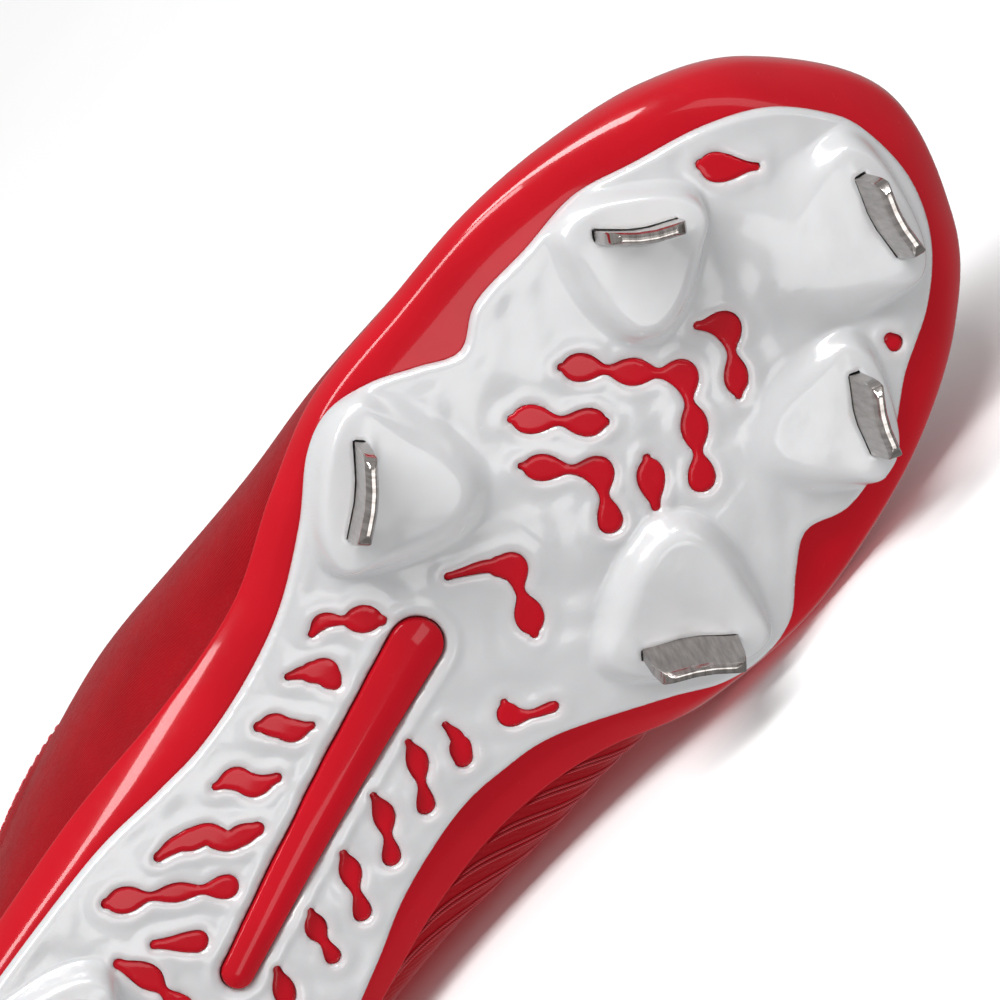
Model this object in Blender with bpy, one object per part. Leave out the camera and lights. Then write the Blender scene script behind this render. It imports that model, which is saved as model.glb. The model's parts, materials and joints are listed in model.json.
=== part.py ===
"""Baseball cleat, right shoe: hollow upper, red base tray, white stud plate and steel blade studs.

The shoe is worked out standing: +X runs from heel to toe, +Y toward the inner (medial) side and
+Z up, with the stud tips at z = 0. The empty "shoe" then lays it on its inner side, sole facing -Y,
on the three places that touch the floor first: the ball's rand, the heel's rand and the upper.
"""
import math
from typing import NamedTuple

import bmesh
import bpy
import numpy as np
from mathutils import Matrix, Vector

# Driving sizes, in metres
LENGTH = 0.292          # heel to toe over the rand
BALL_WIDTH = 0.098      # stud plate across the ball of the foot
HEEL_HEIGHT = 0.070     # collar at the back, over the plate's underside
INSTEP_HEIGHT = 0.082   # top of the throat, over the plate's underside
ARCH_RISE = 0.0055      # plate's underside at the waist, over the ball
HEEL_RISE = 0.007       # plate's underside at the back of the heel, over the ball
TOE_SPRING = 0.017      # plate's underside at the toe, over the ball
EDGE_LIFT = 0.0032      # how far the plate curls up at its edge
STUD_LENGTH = 0.011     # shortest blade below its boss
BOSS_HEIGHT = 0.006     # stud boss below the plate
PLATE = 0.0022          # thickness of the stud plate
TRAY_FLOOR = 0.0015     # thickness of the base tray's floor
RAND = 0.0015           # thickness of the tray's side wall
WALL = 0.0022           # thickness of the upper
BAND_STEP = 0.0008      # how far eyestay and collar band stand out
EYESTAY_WIDTH = 0.018
INSOLE = 0.0035
TONGUE = 0.0035
CLEARANCE = 0.0003      # gap between pieces that touch

BEAD_RADIUS = 0.0028    # widest part of a window
NECK_RADIUS = 0.0010    # narrowest part, between two beads
NECKED_BEAD = 0.45      # beads above this share of the bead radius have a neck between them
CLOSE_BEADS = 2.4 * BEAD_RADIUS     # beads nearer than this keep a wide neck
WIDE_NECK = 0.8 * BEAD_RADIUS
RIB_PROUD = 0.0015      # arch rib below the plate's underside
RIB_FRONT_RADIUS = 0.0052
RIB_BACK_RADIUS = 0.0032

BLADE_WIDTH = 0.0185    # across the blade, at its boss
BLADE_TIP_WIDTH = 0.0155
BLADE_THICKNESS = 0.0024
BLADE_EDGE = 0.0012     # thickness left at the tip
BLADE_BEVEL = 0.0018    # height of the tip's bevels and corner cuts
BLADE_BOW = 0.0009      # the blade's slight bend
SLOT_DEPTH = 0.0030     # how deep a blade stands in its boss
BOSS_BACK = 0.0075      # boss outside the blade
BOSS_HALF_WIDTH = 0.0145
BOSS_TAPER = 0.42       # share by which a boss narrows toward its inner point
PAD_HALF_WIDTH = 0.0122
PAD_HALF_DEPTH = 0.0038
SHOULDER_OUT = 0.62     # boss shoulder, as a share of the way from pad to foot; here at its sides
SHOULDER_OUT_INWARD = 0.80
SHOULDER_RISE = 0.80    # its height as a share of the pad's
SHOULDER_RISE_INWARD = 0.42

EYELET_PAIRS = 6
EYELET_RADIUS = 0.0022
EYELET_IN_BAND = 0.46   # eyelets from the throat's edge, as a share of the eyestay
THROAT_EDGE = 0.6       # the throat's edge between its middle, 0, and an eyelet, 1
THROAT_ARCH = 0.10      # rise of the foot between the throat's edges, as a share of their gap
LACE_WIDTH = 0.0068
LACE_THICKNESS = 0.0013
LACE_LIFT = 0.0006      # lace over the eyestay
TONGUE_RISE = 0.024     # tongue above the throat's top
TONGUE_GAP = 0.0008     # between the upper's lining and the tongue
TONGUE_TUCK = 0.8       # tongue under the eyestay, in steps of the throat's own scale

HALF_BALL = BALL_WIDTH / 2
UNDERSIDE = STUD_LENGTH + BOSS_HEIGHT
TRAY_BOTTOM = PLATE + CLEARANCE
TRAY_TOP = TRAY_BOTTOM + TRAY_FLOOR
FEATHER = TRAY_TOP + CLEARANCE

# How finely the lofts are cut
HALF_RING = 28
PLATE_ROWS = 42
FLOOR_COLUMNS = 4
BODY_RINGS = 8
BOSS_FACETS = 16
WINDOW_STEP = 1.4 * BEAD_RADIUS


# Weight of each material, in kilograms per cubic metre
DENSITY = {"red gloss plastic": 1150, "white plastic": 1150, "red upper cloth": 900,
           "steel": 7800, "liner foam": 250, "lace cord": 700}


class Profile(NamedTuple):
    """The underside along the shoe, as shares of the named rises."""
    along: float
    heel: float
    arch: float
    spring: float


SOLE_PROFILE = (
    Profile(0.00, 1.0, 0.0, 0.0),
    Profile(0.05, 0.5, 0.0, 0.0),
    Profile(0.12, 0.1, 0.24, 0.0),
    Profile(0.25, 0.0, 0.45, 0.0),
    Profile(0.40, 0.0, 1.0, 0.0),
    Profile(0.52, 0.0, 0.73, 0.0),
    Profile(0.62, 0.0, 0.18, 0.0),
    Profile(0.70, 0.0, 0.0, 0.0),
    Profile(0.78, 0.0, 0.0, 0.05),
    Profile(0.85, 0.0, 0.0, 0.21),
    Profile(0.93, 0.0, 0.0, 0.53),
    Profile(1.00, 0.0, 0.0, 1.0),
)


class Station(NamedTuple):
    """One pair of sections of the last, inner and outer side, from feather edge to topline.

    Each section is a cubic curve: feather, belly, crown and edge. Along is a share of the length,
    across a share of half the ball width, up a share of the local height, which goes from the
    heel's to the instep's. Rand is how far up the section the tray's wall reaches.
    """
    along: float
    belly_along: float
    crown_along: float
    edge_along: float
    feather_in: float
    feather_out: float
    belly_in: float
    belly_out: float
    crown_in: float
    crown_out: float
    edge_in: float
    edge_out: float
    belly_up: float
    crown_up: float
    edge_up: float
    instep: float
    rand: float


STATIONS = (
    Station(.024, -.012, .006, .034, 0, 0, 0, 0, 0, 0, 0, 0, .25, .74, 1.0, 0, .28),
    Station(.045, .019, .036, .058, .39, -.38, .52, -.50, .41, -.41, .32, -.32, .25, .74, .985, 0, .28),
    Station(.106, .096, .106, .120, .60, -.59, .75, -.73, .56, -.56, .46, -.46, .20, .71, .943, 0, .23),
    Station(.200, .195, .199, .205, .63, -.63, .84, -.82, .66, -.68, .53, -.53, .19, .66, .857, 0, .20),
    Station(.300, .298, .295, .295, .53, -.62, .97, -.88, .82, -.88, .60, -.59, .17, .64, .816, .5, .19),
    Station(.400, .397, .387, .377, .44, -.56, 1.14, -.99, .93, -.98, .41, -.41, .145, .72, 1.0, 1, .15),
    Station(.486, .486, .476, .455, .44, -.61, 1.26, -1.05, .94, -.97, .35, -.35, .12, .72, .927, 1, .14),
    Station(.558, .558, .545, .520, .57, -.80, 1.23, -1.10, .92, -.90, .31, -.32, .11, .71, .854, 1, .16),
    Station(.623, .627, .606, .575, .86, -.93, 1.18, -1.14, .86, -.87, .28, -.29, .11, .70, .780, 1, .19),
    Station(.695, .702, .678, .620, .97, -.93, 1.26, -1.12, .84, -.86, .24, -.25, .11, .66, .707, 1, .19),
    Station(.767, .777, .750, .644, .97, -.90, 1.25, -1.10, .80, -.78, .17, -.18, .115, .63, .665, 1, .20),
    Station(.832, .850, .815, .656, .93, -.79, 1.18, -.99, .76, -.66, .10, -.11, .145, .61, .646, 1, .22),
    Station(.896, .926, .875, .661, .80, -.60, 1.06, -.78, .60, -.49, .05, -.05, .18, .585, .640, 1, .25),
    Station(.944, .990, .926, .663, .58, -.32, .81, -.44, .41, -.23, .02, -.02, .195, .573, .634, 1, .30),
    Station(.971, 1.041, .958, .6635, .16, .16, .18, .18, .12, .12, 0, 0, .195, .573, .634, 1, .32),
)
THROAT_TOP = 5          # station where the throat's two edges end at the top


class EdgePoint(NamedTuple):
    """A point of the plate's outline: share of the length, share of half the ball width."""
    along: float
    across: float


PLATE_HEEL = EdgePoint(.022, 0)
PLATE_TOE = EdgePoint(.9685, .08)
PLATE_INNER_EDGE = (
    EdgePoint(.032, .26), EdgePoint(.065, .52), EdgePoint(.13, .65), EdgePoint(.20, .66),
    EdgePoint(.28, .61), EdgePoint(.35, .52), EdgePoint(.40, .44), EdgePoint(.46, .405),
    EdgePoint(.50, .44), EdgePoint(.54, .525), EdgePoint(.60, .78), EdgePoint(.63, .93),
    EdgePoint(.66, 1.0), EdgePoint(.69, .99), EdgePoint(.717, .88), EdgePoint(.742, .81),
    EdgePoint(.772, .90), EdgePoint(.82, .885), EdgePoint(.861, .77), EdgePoint(.905, .69),
    EdgePoint(.941, .55), EdgePoint(.963, .34),
)
PLATE_OUTER_EDGE = (
    EdgePoint(.030, -.22), EdgePoint(.058, -.48), EdgePoint(.12, -.64), EdgePoint(.20, -.67),
    EdgePoint(.30, -.66), EdgePoint(.36, -.60), EdgePoint(.40, -.57), EdgePoint(.45, -.59),
    EdgePoint(.50, -.66), EdgePoint(.55, -.80), EdgePoint(.59, -.95), EdgePoint(.62, -.99),
    EdgePoint(.65, -.93), EdgePoint(.675, -.83), EdgePoint(.70, -.735), EdgePoint(.73, -.80),
    EdgePoint(.775, -.77), EdgePoint(.82, -.74), EdgePoint(.86, -.62), EdgePoint(.905, -.475),
    EdgePoint(.94, -.30), EdgePoint(.961, -.09),
)


class Stud(NamedTuple):
    """A blade: its place, the way its boss points inward, boss length, lean and tip lift."""
    name: str
    along: float
    across: float
    inward: float       # degrees from +X
    reach: float        # boss from the blade to its inner point, in metres
    width: float        # share of the full blade width
    lean_along: float   # shift of the tip as a share of the blade's length
    lean_across: float
    tip_lift: float     # tip above the ground, as a share of the toe spring


STUDS = (
    Stud("stud_fore_lateral", .826, -.505, 134, .0215, .87, .05, -.20, 0),
    Stud("stud_toe", .929, .270, 203, .0215, .93, .10, -.10, .35),
    Stud("stud_fore_medial", .823, .665, 216, .0225, .86, .08, -.08, 0),
    Stud("stud_ball_lateral", .592, -.755, 57, .0290, 1, .03, -.12, 0),
    Stud("stud_ball_medial", .638, .665, -45, .0225, 1, -.15, .05, 0),
    Stud("stud_heel_front_lateral", .200, -.44, 110, .0170, .9, 0, -.10, 0),
    Stud("stud_heel_front_medial", .200, .44, -110, .0170, .9, 0, .10, 0),
    Stud("stud_heel_back_lateral", .078, -.30, 52, .0150, .9, -.10, -.06, 0),
    Stud("stud_heel_back_medial", .078, .30, -52, .0150, .9, -.10, .06, 0),
)


class Bead(NamedTuple):
    """A widening of a window: place as shares, size as a share of the bead radius."""
    along: float
    across: float
    size: float


WINDOWS = (
    (Bead(.885, -.41, .35), Bead(.890, -.35, 1), Bead(.906, -.22, .3)),
    (Bead(.803, -.06, .3), Bead(.814, .04, 1), Bead(.792, .19, .9), Bead(.784, .24, .3)),
    (Bead(.730, -.40, .3), Bead(.737, -.34, 1), Bead(.755, -.16, .95), Bead(.773, .01, 1),
     Bead(.751, .17, 1), Bead(.728, .32, 1)),
    (Bead(.685, -.43, .3), Bead(.692, -.37, 1), Bead(.713, -.18, 1), Bead(.719, -.13, .35)),
    (Bead(.665, -.29, .25), Bead(.672, -.22, .95), Bead(.692, -.03, 1), Bead(.671, .13, .9)),
    (Bead(.717, .09, .3), Bead(.709, .15, 1), Bead(.696, .24, .35)),
    (Bead(.581, -.24, .3), Bead(.603, -.13, .5), Bead(.610, -.07, 1), Bead(.591, .12, 1),
     Bead(.584, .18, .3)),
    (Bead(.872, .625, .45), Bead(.872, .655, .6)),
    (Bead(.537, .26, .25), Bead(.532, .31, .8), Bead(.541, .38, .35), Bead(.553, .43, .45)),
    (Bead(.500, -.51, .3), Bead(.510, -.51, .6), Bead(.527, -.39, 1), Bead(.533, -.33, .4)),
    (Bead(.469, -.48, .3), Bead(.477, -.44, .5), Bead(.485, -.38, .95), Bead(.483, -.32, .5)),
    (Bead(.432, -.45, .4), Bead(.439, -.40, .85), Bead(.442, -.34, .85), Bead(.452, -.29, .35)),
    (Bead(.385, -.44, .3), Bead(.397, -.39, .85), Bead(.399, -.33, .85), Bead(.412, -.27, .4)),
    (Bead(.328, -.46, .4), Bead(.341, -.43, .6), Bead(.358, -.35, .75), Bead(.360, -.28, .7),
     Bead(.378, -.21, .55)),
    (Bead(.285, -.52, .4), Bead(.293, -.47, .95), Bead(.316, -.32, .7), Bead(.337, -.17, .85)),
    (Bead(.281, -.27, .35), Bead(.298, -.14, .8)),
    (Bead(.503, .13, .25), Bead(.500, .21, .5), Bead(.492, .28, .7)),
    (Bead(.480, .06, .25), Bead(.473, .14, .8), Bead(.453, .28, .7)),
    (Bead(.439, .08, .25), Bead(.432, .17, .8), Bead(.413, .30, .7)),
    (Bead(.397, .13, .3), Bead(.390, .20, .8), Bead(.373, .34, .7)),
    (Bead(.355, .16, .25), Bead(.348, .22, .8), Bead(.339, .35, .6)),
    (Bead(.312, .19, .3), Bead(.303, .27, .8), Bead(.290, .40, .7)),
    (Bead(.258, -.34, .4), Bead(.262, -.22, .9), Bead(.258, -.04, .8), Bead(.262, .14, .9),
     Bead(.258, .30, .4)),
    (Bead(.146, -.26, .35), Bead(.140, -.17, .9), Bead(.146, 0, .9), Bead(.140, .17, .9),
     Bead(.146, .26, .35)),
)
RIB_FRONT = EdgePoint(.534, -.165)
RIB_BACK = EdgePoint(.297, .065)


def clear_scene():
    """Remove whatever the file opened with."""
    for thing in list(bpy.data.objects):
        bpy.data.objects.remove(thing, do_unlink=True)


def make_material(name, colour, roughness, metallic=0.0):
    """A Principled material with one colour."""
    material = bpy.data.materials.new(name)
    material.use_nodes = True
    shader = material.node_tree.nodes["Principled BSDF"]
    shader.inputs["Base Color"].default_value = (*colour, 1.0)
    shader.inputs["Roughness"].default_value = roughness
    shader.inputs["Metallic"].default_value = metallic
    material.diffuse_color = (*colour, 1.0)
    return material


def smooth_read(x, knots, values):
    """Cubic curve through (knots, values), read at x and held level past the ends."""
    x = np.clip(x, knots[0], knots[-1])
    slopes = np.gradient(values, knots)
    right = np.clip(np.searchsorted(knots, x), 1, len(knots) - 1)
    left = right - 1
    span = knots[right] - knots[left]
    f = (x - knots[left]) / span
    return (values[left] * (1 + 2 * f) * (1 - f) ** 2 + values[right] * f * f * (3 - 2 * f)
            + span * (slopes[left] * f * (1 - f) ** 2 - slopes[right] * f * f * (1 - f)))


def underside(x, y):
    """Height of the plate's underside over the ground."""
    knots = np.array([row.along for row in SOLE_PROFILE]) * LENGTH
    rises = np.array([row.heel * HEEL_RISE + row.arch * ARCH_RISE + row.spring * TOE_SPRING
                      for row in SOLE_PROFILE])
    curl = EDGE_LIFT * (np.abs(y) / HALF_BALL) ** 2.3
    return UNDERSIDE + smooth_read(np.asarray(x, float), knots, rises) + curl


def closed_curve(rows, at):
    """Smooth closed curve through the rows of a table, read at row positions."""
    rows = np.asarray(rows, float)
    at = np.atleast_1d(np.asarray(at, float))
    first = np.floor(at).astype(int)
    f = (at - first)[:, None]
    before, start, end, after = (rows[(first + k) % len(rows)] for k in (-1, 0, 1, 2))
    return 0.5 * (2 * start + (end - before) * f
                  + (2 * before - 5 * start + 4 * end - after) * f ** 2
                  + (3 * start - before - 3 * end + after) * f ** 3)


LAST_STATION = len(STATIONS) - 1
RING_STATIONS = 2 * LAST_STATION


def station_loop():
    """Rows of shares round the whole shoe: inner side heel to toe, outer side toe to heel."""
    rows = []
    for turn in range(RING_STATIONS):
        inner = turn <= LAST_STATION
        station = STATIONS[turn] if inner else STATIONS[RING_STATIONS - turn]
        sides = ((station.feather_in, station.belly_in, station.crown_in, station.edge_in) if inner
                 else (station.feather_out, station.belly_out, station.crown_out, station.edge_out))
        rows.append((station.along, station.belly_along, station.crown_along, station.edge_along,
                     *sides, station.belly_up, station.crown_up, station.edge_up,
                     station.instep, station.rand))
    return np.array(rows)


STATION_LOOP = station_loop()


def section_points(turn):
    """The four control points of the sections at ring positions, shape (n, 4, 3), and the rand."""
    shares = closed_curve(STATION_LOOP, turn)
    x = shares[:, 0:4] * LENGTH
    y = shares[:, 4:8] * HALF_BALL
    height = HEEL_HEIGHT + (INSTEP_HEIGHT - HEEL_HEIGHT) * shares[:, 11]
    up = np.column_stack([np.zeros(len(shares)), shares[:, 8:11] * height[:, None]])
    z = underside(x, 0) + up
    z[:, 0] = underside(x[:, 0], y[:, 0]) + FEATHER
    return np.stack([x, y, z], axis=-1), shares[:, 12]


def last_surface(turn, rise):
    """Points of the last at ring positions and section shares; rise has shape (n, m)."""
    control, _ = section_points(turn)
    t = rise[..., None]
    a, b, c, d = (control[:, None, k, :] for k in range(4))
    return a * (1 - t) ** 3 + 3 * b * t * (1 - t) ** 2 + 3 * c * t * t * (1 - t) + d * t ** 3


def last_normals(turn, rise):
    """Unit normals of the last, pointing out of the shoe."""
    step = 1e-3
    along = last_surface(turn + step, rise) - last_surface(turn - step, rise)
    upward = last_surface(turn, rise + step) - last_surface(turn, rise - step)
    normal = np.cross(upward, along)
    return normal / np.linalg.norm(normal, axis=-1, keepdims=True)


def ring_turns(count=HALF_RING):
    """Ring positions, evenly spread along the feather edge and paired across the shoe."""
    fine = np.linspace(0, LAST_STATION, 600)
    control, _ = section_points(fine)
    other, _ = section_points(RING_STATIONS - fine)
    steps = sum(np.linalg.norm(np.diff(side[:, :2, :2].mean(axis=1), axis=0), axis=1)
                for side in (control, other))
    travelled = np.concatenate([[0], np.cumsum(steps)])
    inner = np.interp(np.linspace(0, travelled[-1], count + 1), travelled, fine)
    return np.concatenate([inner, RING_STATIONS - inner[-2:0:-1]])


def flat_offset(turn, distance):
    """The feather edge moved level by a distance, outward if positive, with no height."""
    rise = np.zeros((len(turn), 1))
    points = last_surface(turn, rise)[:, 0, :2]
    normal = last_normals(turn, rise)[:, 0, :2]
    return points + distance * normal / np.linalg.norm(normal, axis=1, keepdims=True)


def add_grid(mesh, grid, wrap=False):
    """Add a grid of points, shape (n, m, 3), as faces; wrap joins the last row to the first."""
    rows = [[mesh.verts.new(point) for point in row] for row in grid]
    pairs = list(zip(rows, rows[1:]))
    if wrap:
        pairs.append((rows[-1], rows[0]))
    for near, far in pairs:
        for k in range(len(near) - 1):
            mesh.faces.new((near[k], near[k + 1], far[k + 1], far[k]))


def make_object(name, mesh, material, smooth_angle=None, cutter=False):
    """Weld the mesh, turn its faces outward and put it into the scene."""
    bmesh.ops.remove_doubles(mesh, verts=mesh.verts, dist=1e-5)
    bmesh.ops.dissolve_degenerate(mesh, edges=mesh.edges, dist=1e-6)
    bmesh.ops.recalc_face_normals(mesh, faces=mesh.faces)
    data = bpy.data.meshes.new(name)
    mesh.to_mesh(data)
    mesh.free()
    if smooth_angle:
        data.shade_smooth()
        data.set_sharp_from_angle(angle=math.radians(smooth_angle))
    thing = bpy.data.objects.new(name, data)
    bpy.context.scene.collection.objects.link(thing)
    if material:
        data.materials.append(material)
    if cutter:
        thing.hide_render = True
        thing.display_type = "WIRE"
    return thing


def add_boolean(target, operand, operation):
    """Cut or join another mesh with an exact Boolean."""
    modifier = target.modifiers.new(operand.name, "BOOLEAN")
    modifier.operation = operation
    modifier.object = operand
    modifier.solver = "EXACT"


def floor_grid(edge, lift):
    """Rows across the shoe between the two halves of a ring, following the underside."""
    half = len(edge) // 2
    inner = edge[:half + 1]
    outer = np.concatenate([edge[:1], edge[:half - 1:-1]])
    share = np.linspace(0, 1, FLOOR_COLUMNS + 1)[None, :, None]
    flat = inner[:, None, :] * (1 - share) + outer[:, None, :] * share
    height = underside(flat[..., 0], flat[..., 1]) + lift
    return np.concatenate([flat, height[..., None]], axis=-1)


def ring_at_height(edge, lift):
    """A flat ring set at a height over the underside, shape (n, 1, 3)."""
    height = underside(edge[:, 0], edge[:, 1]) + lift
    return np.column_stack([edge, height])[:, None, :]


def plate_sides():
    """Both halves of the plate's outline, heel to toe, as evenly spaced paired points."""
    rows = [PLATE_HEEL, *PLATE_INNER_EDGE, PLATE_TOE, *reversed(PLATE_OUTER_EDGE)]
    toe = len(PLATE_INNER_EDGE) + 1
    sides = []
    for start, stop in ((0, toe), (len(rows), toe)):
        fine = closed_curve(rows, np.linspace(start, stop, 800)) * (LENGTH, HALF_BALL)
        travelled = np.concatenate([[0], np.cumsum(np.linalg.norm(np.diff(fine, axis=0), axis=1))])
        wanted = np.linspace(0, travelled[-1], PLATE_ROWS + 1)
        sides.append(np.column_stack([np.interp(wanted, travelled, fine[:, k]) for k in (0, 1)]))
    return sides


def stud_frame(stud):
    """Foot of the blade on its boss, its axis to the tip, its width direction and its length."""
    x, y = stud.along * LENGTH, stud.across * HALF_BALL
    foot = Vector((x, y, float(underside(x, y)) - BOSS_HEIGHT))
    drop = foot.z - stud.tip_lift * TOE_SPRING
    axis = Vector((stud.lean_along, stud.lean_across, -1.0))
    length = drop * axis.length
    axis.normalize()
    angle = math.radians(stud.inward)
    inward = Vector((math.cos(angle), math.sin(angle), 0))
    width = axis.cross(inward).normalized()
    return foot, axis, width, length


def add_boss(mesh, stud):
    """A boss: drop-shaped foot in the plate, steep flanks, a shoulder, and the blade's pad."""
    foot, axis, width, _ = stud_frame(stud)
    deep = width.cross(axis).normalized()
    angle = math.radians(stud.inward)
    inward = Vector((math.cos(angle), math.sin(angle), 0))
    sideways = Vector((-inward.y, inward.x, 0))
    rings = [[], [], []]
    for step in range(BOSS_FACETS):
        turn = 2 * math.pi * step / BOSS_FACETS
        c, s = math.cos(turn), math.sin(turn)
        reach = stud.reach if c > 0 else BOSS_BACK
        narrowing = 1 - BOSS_TAPER * max(c, 0) ** 1.2
        level = foot + inward * reach * c + sideways * BOSS_HALF_WIDTH * s * narrowing
        level.z = float(underside(level.x, level.y)) + PLATE / 2
        rings[0].append(level)
        square = max(abs(c), abs(s)) ** 0.6
        pad_along = PAD_HALF_WIDTH * stud.width * s / square
        pad_across = PAD_HALF_DEPTH * c / square
        pad = foot + width * -pad_along + deep * pad_across
        ahead = max(c, 0)
        shoulder = pad.lerp(level, SHOULDER_OUT + (SHOULDER_OUT_INWARD - SHOULDER_OUT) * ahead)
        rise = SHOULDER_RISE + (SHOULDER_RISE_INWARD - SHOULDER_RISE) * ahead
        shoulder.z = level.z + (pad.z - level.z) * rise
        rings[1].append(shoulder)
        rings[2].append(pad)
    loops = [[mesh.verts.new(point) for point in ring] for ring in rings]
    for low, high in zip(loops, loops[1:]):
        for k in range(BOSS_FACETS):
            after = (k + 1) % BOSS_FACETS
            mesh.faces.new((low[k], low[after], high[after], high[k]))
    mesh.faces.new(loops[0])
    mesh.faces.new(loops[-1])


def add_box(mesh, centre, sides):
    """A box from its centre and three half-side vectors."""
    corners = {}
    for i in (-1, 1):
        for j in (-1, 1):
            for k in (-1, 1):
                corners[i, j, k] = mesh.verts.new(centre + sides[0] * i + sides[1] * j + sides[2] * k)
    for axis in range(3):
        for end in (-1, 1):
            ring = []
            for first, second in ((-1, -1), (-1, 1), (1, 1), (1, -1)):
                key = [first, second]
                key.insert(axis, end)
                ring.append(corners[tuple(key)])
            mesh.faces.new(ring)


def window_outline(beads):
    """Outline of a chain of beads joined by necks, as (x, y) points."""
    centres, radii = [], []
    for k, bead in enumerate(beads):
        if k and min(bead.size, beads[k - 1].size) > NECKED_BEAD:
            centres.append(((bead.along + beads[k - 1].along) / 2,
                            (bead.across + beads[k - 1].across) / 2))
            gap = math.hypot((bead.along - beads[k - 1].along) * LENGTH,
                             (bead.across - beads[k - 1].across) * HALF_BALL)
            radii.append(WIDE_NECK if gap < CLOSE_BEADS else NECK_RADIUS)
        centres.append((bead.along, bead.across))
        radii.append(bead.size * BEAD_RADIUS)
    centres = np.array(centres) * (LENGTH, HALF_BALL)
    radii = np.array(radii)
    steps = np.linalg.norm(np.diff(centres, axis=0), axis=1)
    travelled = np.concatenate([[0], np.cumsum(steps)])
    count = max(2, int(travelled[-1] / WINDOW_STEP))
    wanted = np.unique(np.concatenate([np.linspace(0, travelled[-1], count + 1), travelled]))
    spaced = np.concatenate([[True], np.diff(wanted) > 0.2 * BEAD_RADIUS])
    wanted = wanted[spaced]
    path = np.column_stack([smooth_read(wanted, travelled, centres[:, k]) for k in (0, 1)])
    width = np.interp(wanted, travelled, radii)
    ahead = np.gradient(path, axis=0)
    ahead /= np.linalg.norm(ahead, axis=1, keepdims=True)
    left = np.column_stack([-ahead[:, 1], ahead[:, 0]])
    start_cap = path[0] - ahead[0] * width[0]
    end_cap = path[-1] + ahead[-1] * width[-1]
    outline = np.concatenate([path + left * width[:, None], [end_cap],
                              (path - left * width[:, None])[::-1], [start_cap]])
    away = np.linalg.norm(outline[:, None] - path[None], axis=2)
    return outline[np.all(away > 0.93 * width, axis=1)]


def rib_outline(grow=0.0):
    """Outline of the tapered arch rib, as (x, y) points, grown by a clearance."""
    front = np.array(RIB_FRONT) * (LENGTH, HALF_BALL)
    back = np.array(RIB_BACK) * (LENGTH, HALF_BALL)
    heading = math.atan2(*(front - back)[::-1])
    points = []
    for centre, radius, start in ((front, RIB_FRONT_RADIUS, -90), (back, RIB_BACK_RADIUS, 90)):
        for step in range(7):
            turn = heading + math.radians(start + 30 * step)
            points.append(centre + (radius + grow) * np.array((math.cos(turn), math.sin(turn))))
    return np.array(points)


def add_prism(mesh, outline, low, high, low_inset=0.0):
    """A prism between two heights over the underside, its low end drawn in by a share."""
    centre = outline.mean(axis=0)
    ends = []
    for lift, inset in ((low, low_inset), (high, 0.0)):
        ring = outline + (centre - outline) * inset
        heights = underside(ring[:, 0], ring[:, 1]) + lift
        ends.append([mesh.verts.new((*point, z)) for point, z in zip(ring, heights)])
    bottom, top = ends
    count = len(bottom)
    for k in range(count):
        after = (k + 1) % count
        mesh.faces.new((bottom[k], bottom[after], top[after], top[k]))
    mesh.faces.new(bottom)
    mesh.faces.new(top)
    bmesh.ops.triangulate(mesh, faces=[face for face in mesh.faces if len(face.verts) > 4])


def make_plate(material):
    """The stud plate: curved sheet, bosses joined on, windows and blade slots cut."""
    inner, outer = plate_sides()
    share = np.linspace(0, 1, FLOOR_COLUMNS + 1)[None, :, None]
    flat = inner[:, None, :] * (1 - share) + outer[:, None, :] * share
    under = underside(flat[..., 0], flat[..., 1])
    low = np.concatenate([flat, under[..., None]], axis=-1)
    high = low + (0, 0, PLATE)
    sheet = bmesh.new()
    add_grid(sheet, low)
    add_grid(sheet, high)
    for column in (0, -1):
        add_grid(sheet, np.stack([low[:, column], high[:, column]], axis=1))
    plate = make_object("outsole_plate", sheet, material, 35)

    bosses = bmesh.new()
    for stud in STUDS:
        add_boss(bosses, stud)
    add_boolean(plate, make_object("boss_forms", bosses, None, cutter=True), "UNION")

    cuts = bmesh.new()
    for beads in WINDOWS:
        add_prism(cuts, window_outline(beads), -2 * PLATE, 3 * PLATE)
    add_prism(cuts, rib_outline(CLEARANCE), -2 * PLATE, 3 * PLATE)
    for stud in STUDS:
        foot, axis, width, _ = stud_frame(stud)
        deep = width.cross(axis).normalized()
        thick = BLADE_THICKNESS / 2 + BLADE_BOW / 2 + CLEARANCE
        half = BLADE_WIDTH * stud.width / 2 + CLEARANCE
        add_box(cuts, Vector(foot), (width * half, deep * thick, axis * SLOT_DEPTH))
    add_boolean(plate, make_object("plate_cuts", cuts, None, cutter=True), "DIFFERENCE")
    return plate


def make_rib(material):
    """The raised rib that fills the plate's long midfoot window."""
    mesh = bmesh.new()
    add_prism(mesh, rib_outline(), -RIB_PROUD, PLATE, low_inset=0.04)
    return make_object("arch_rib", mesh, material, 40)


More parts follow.
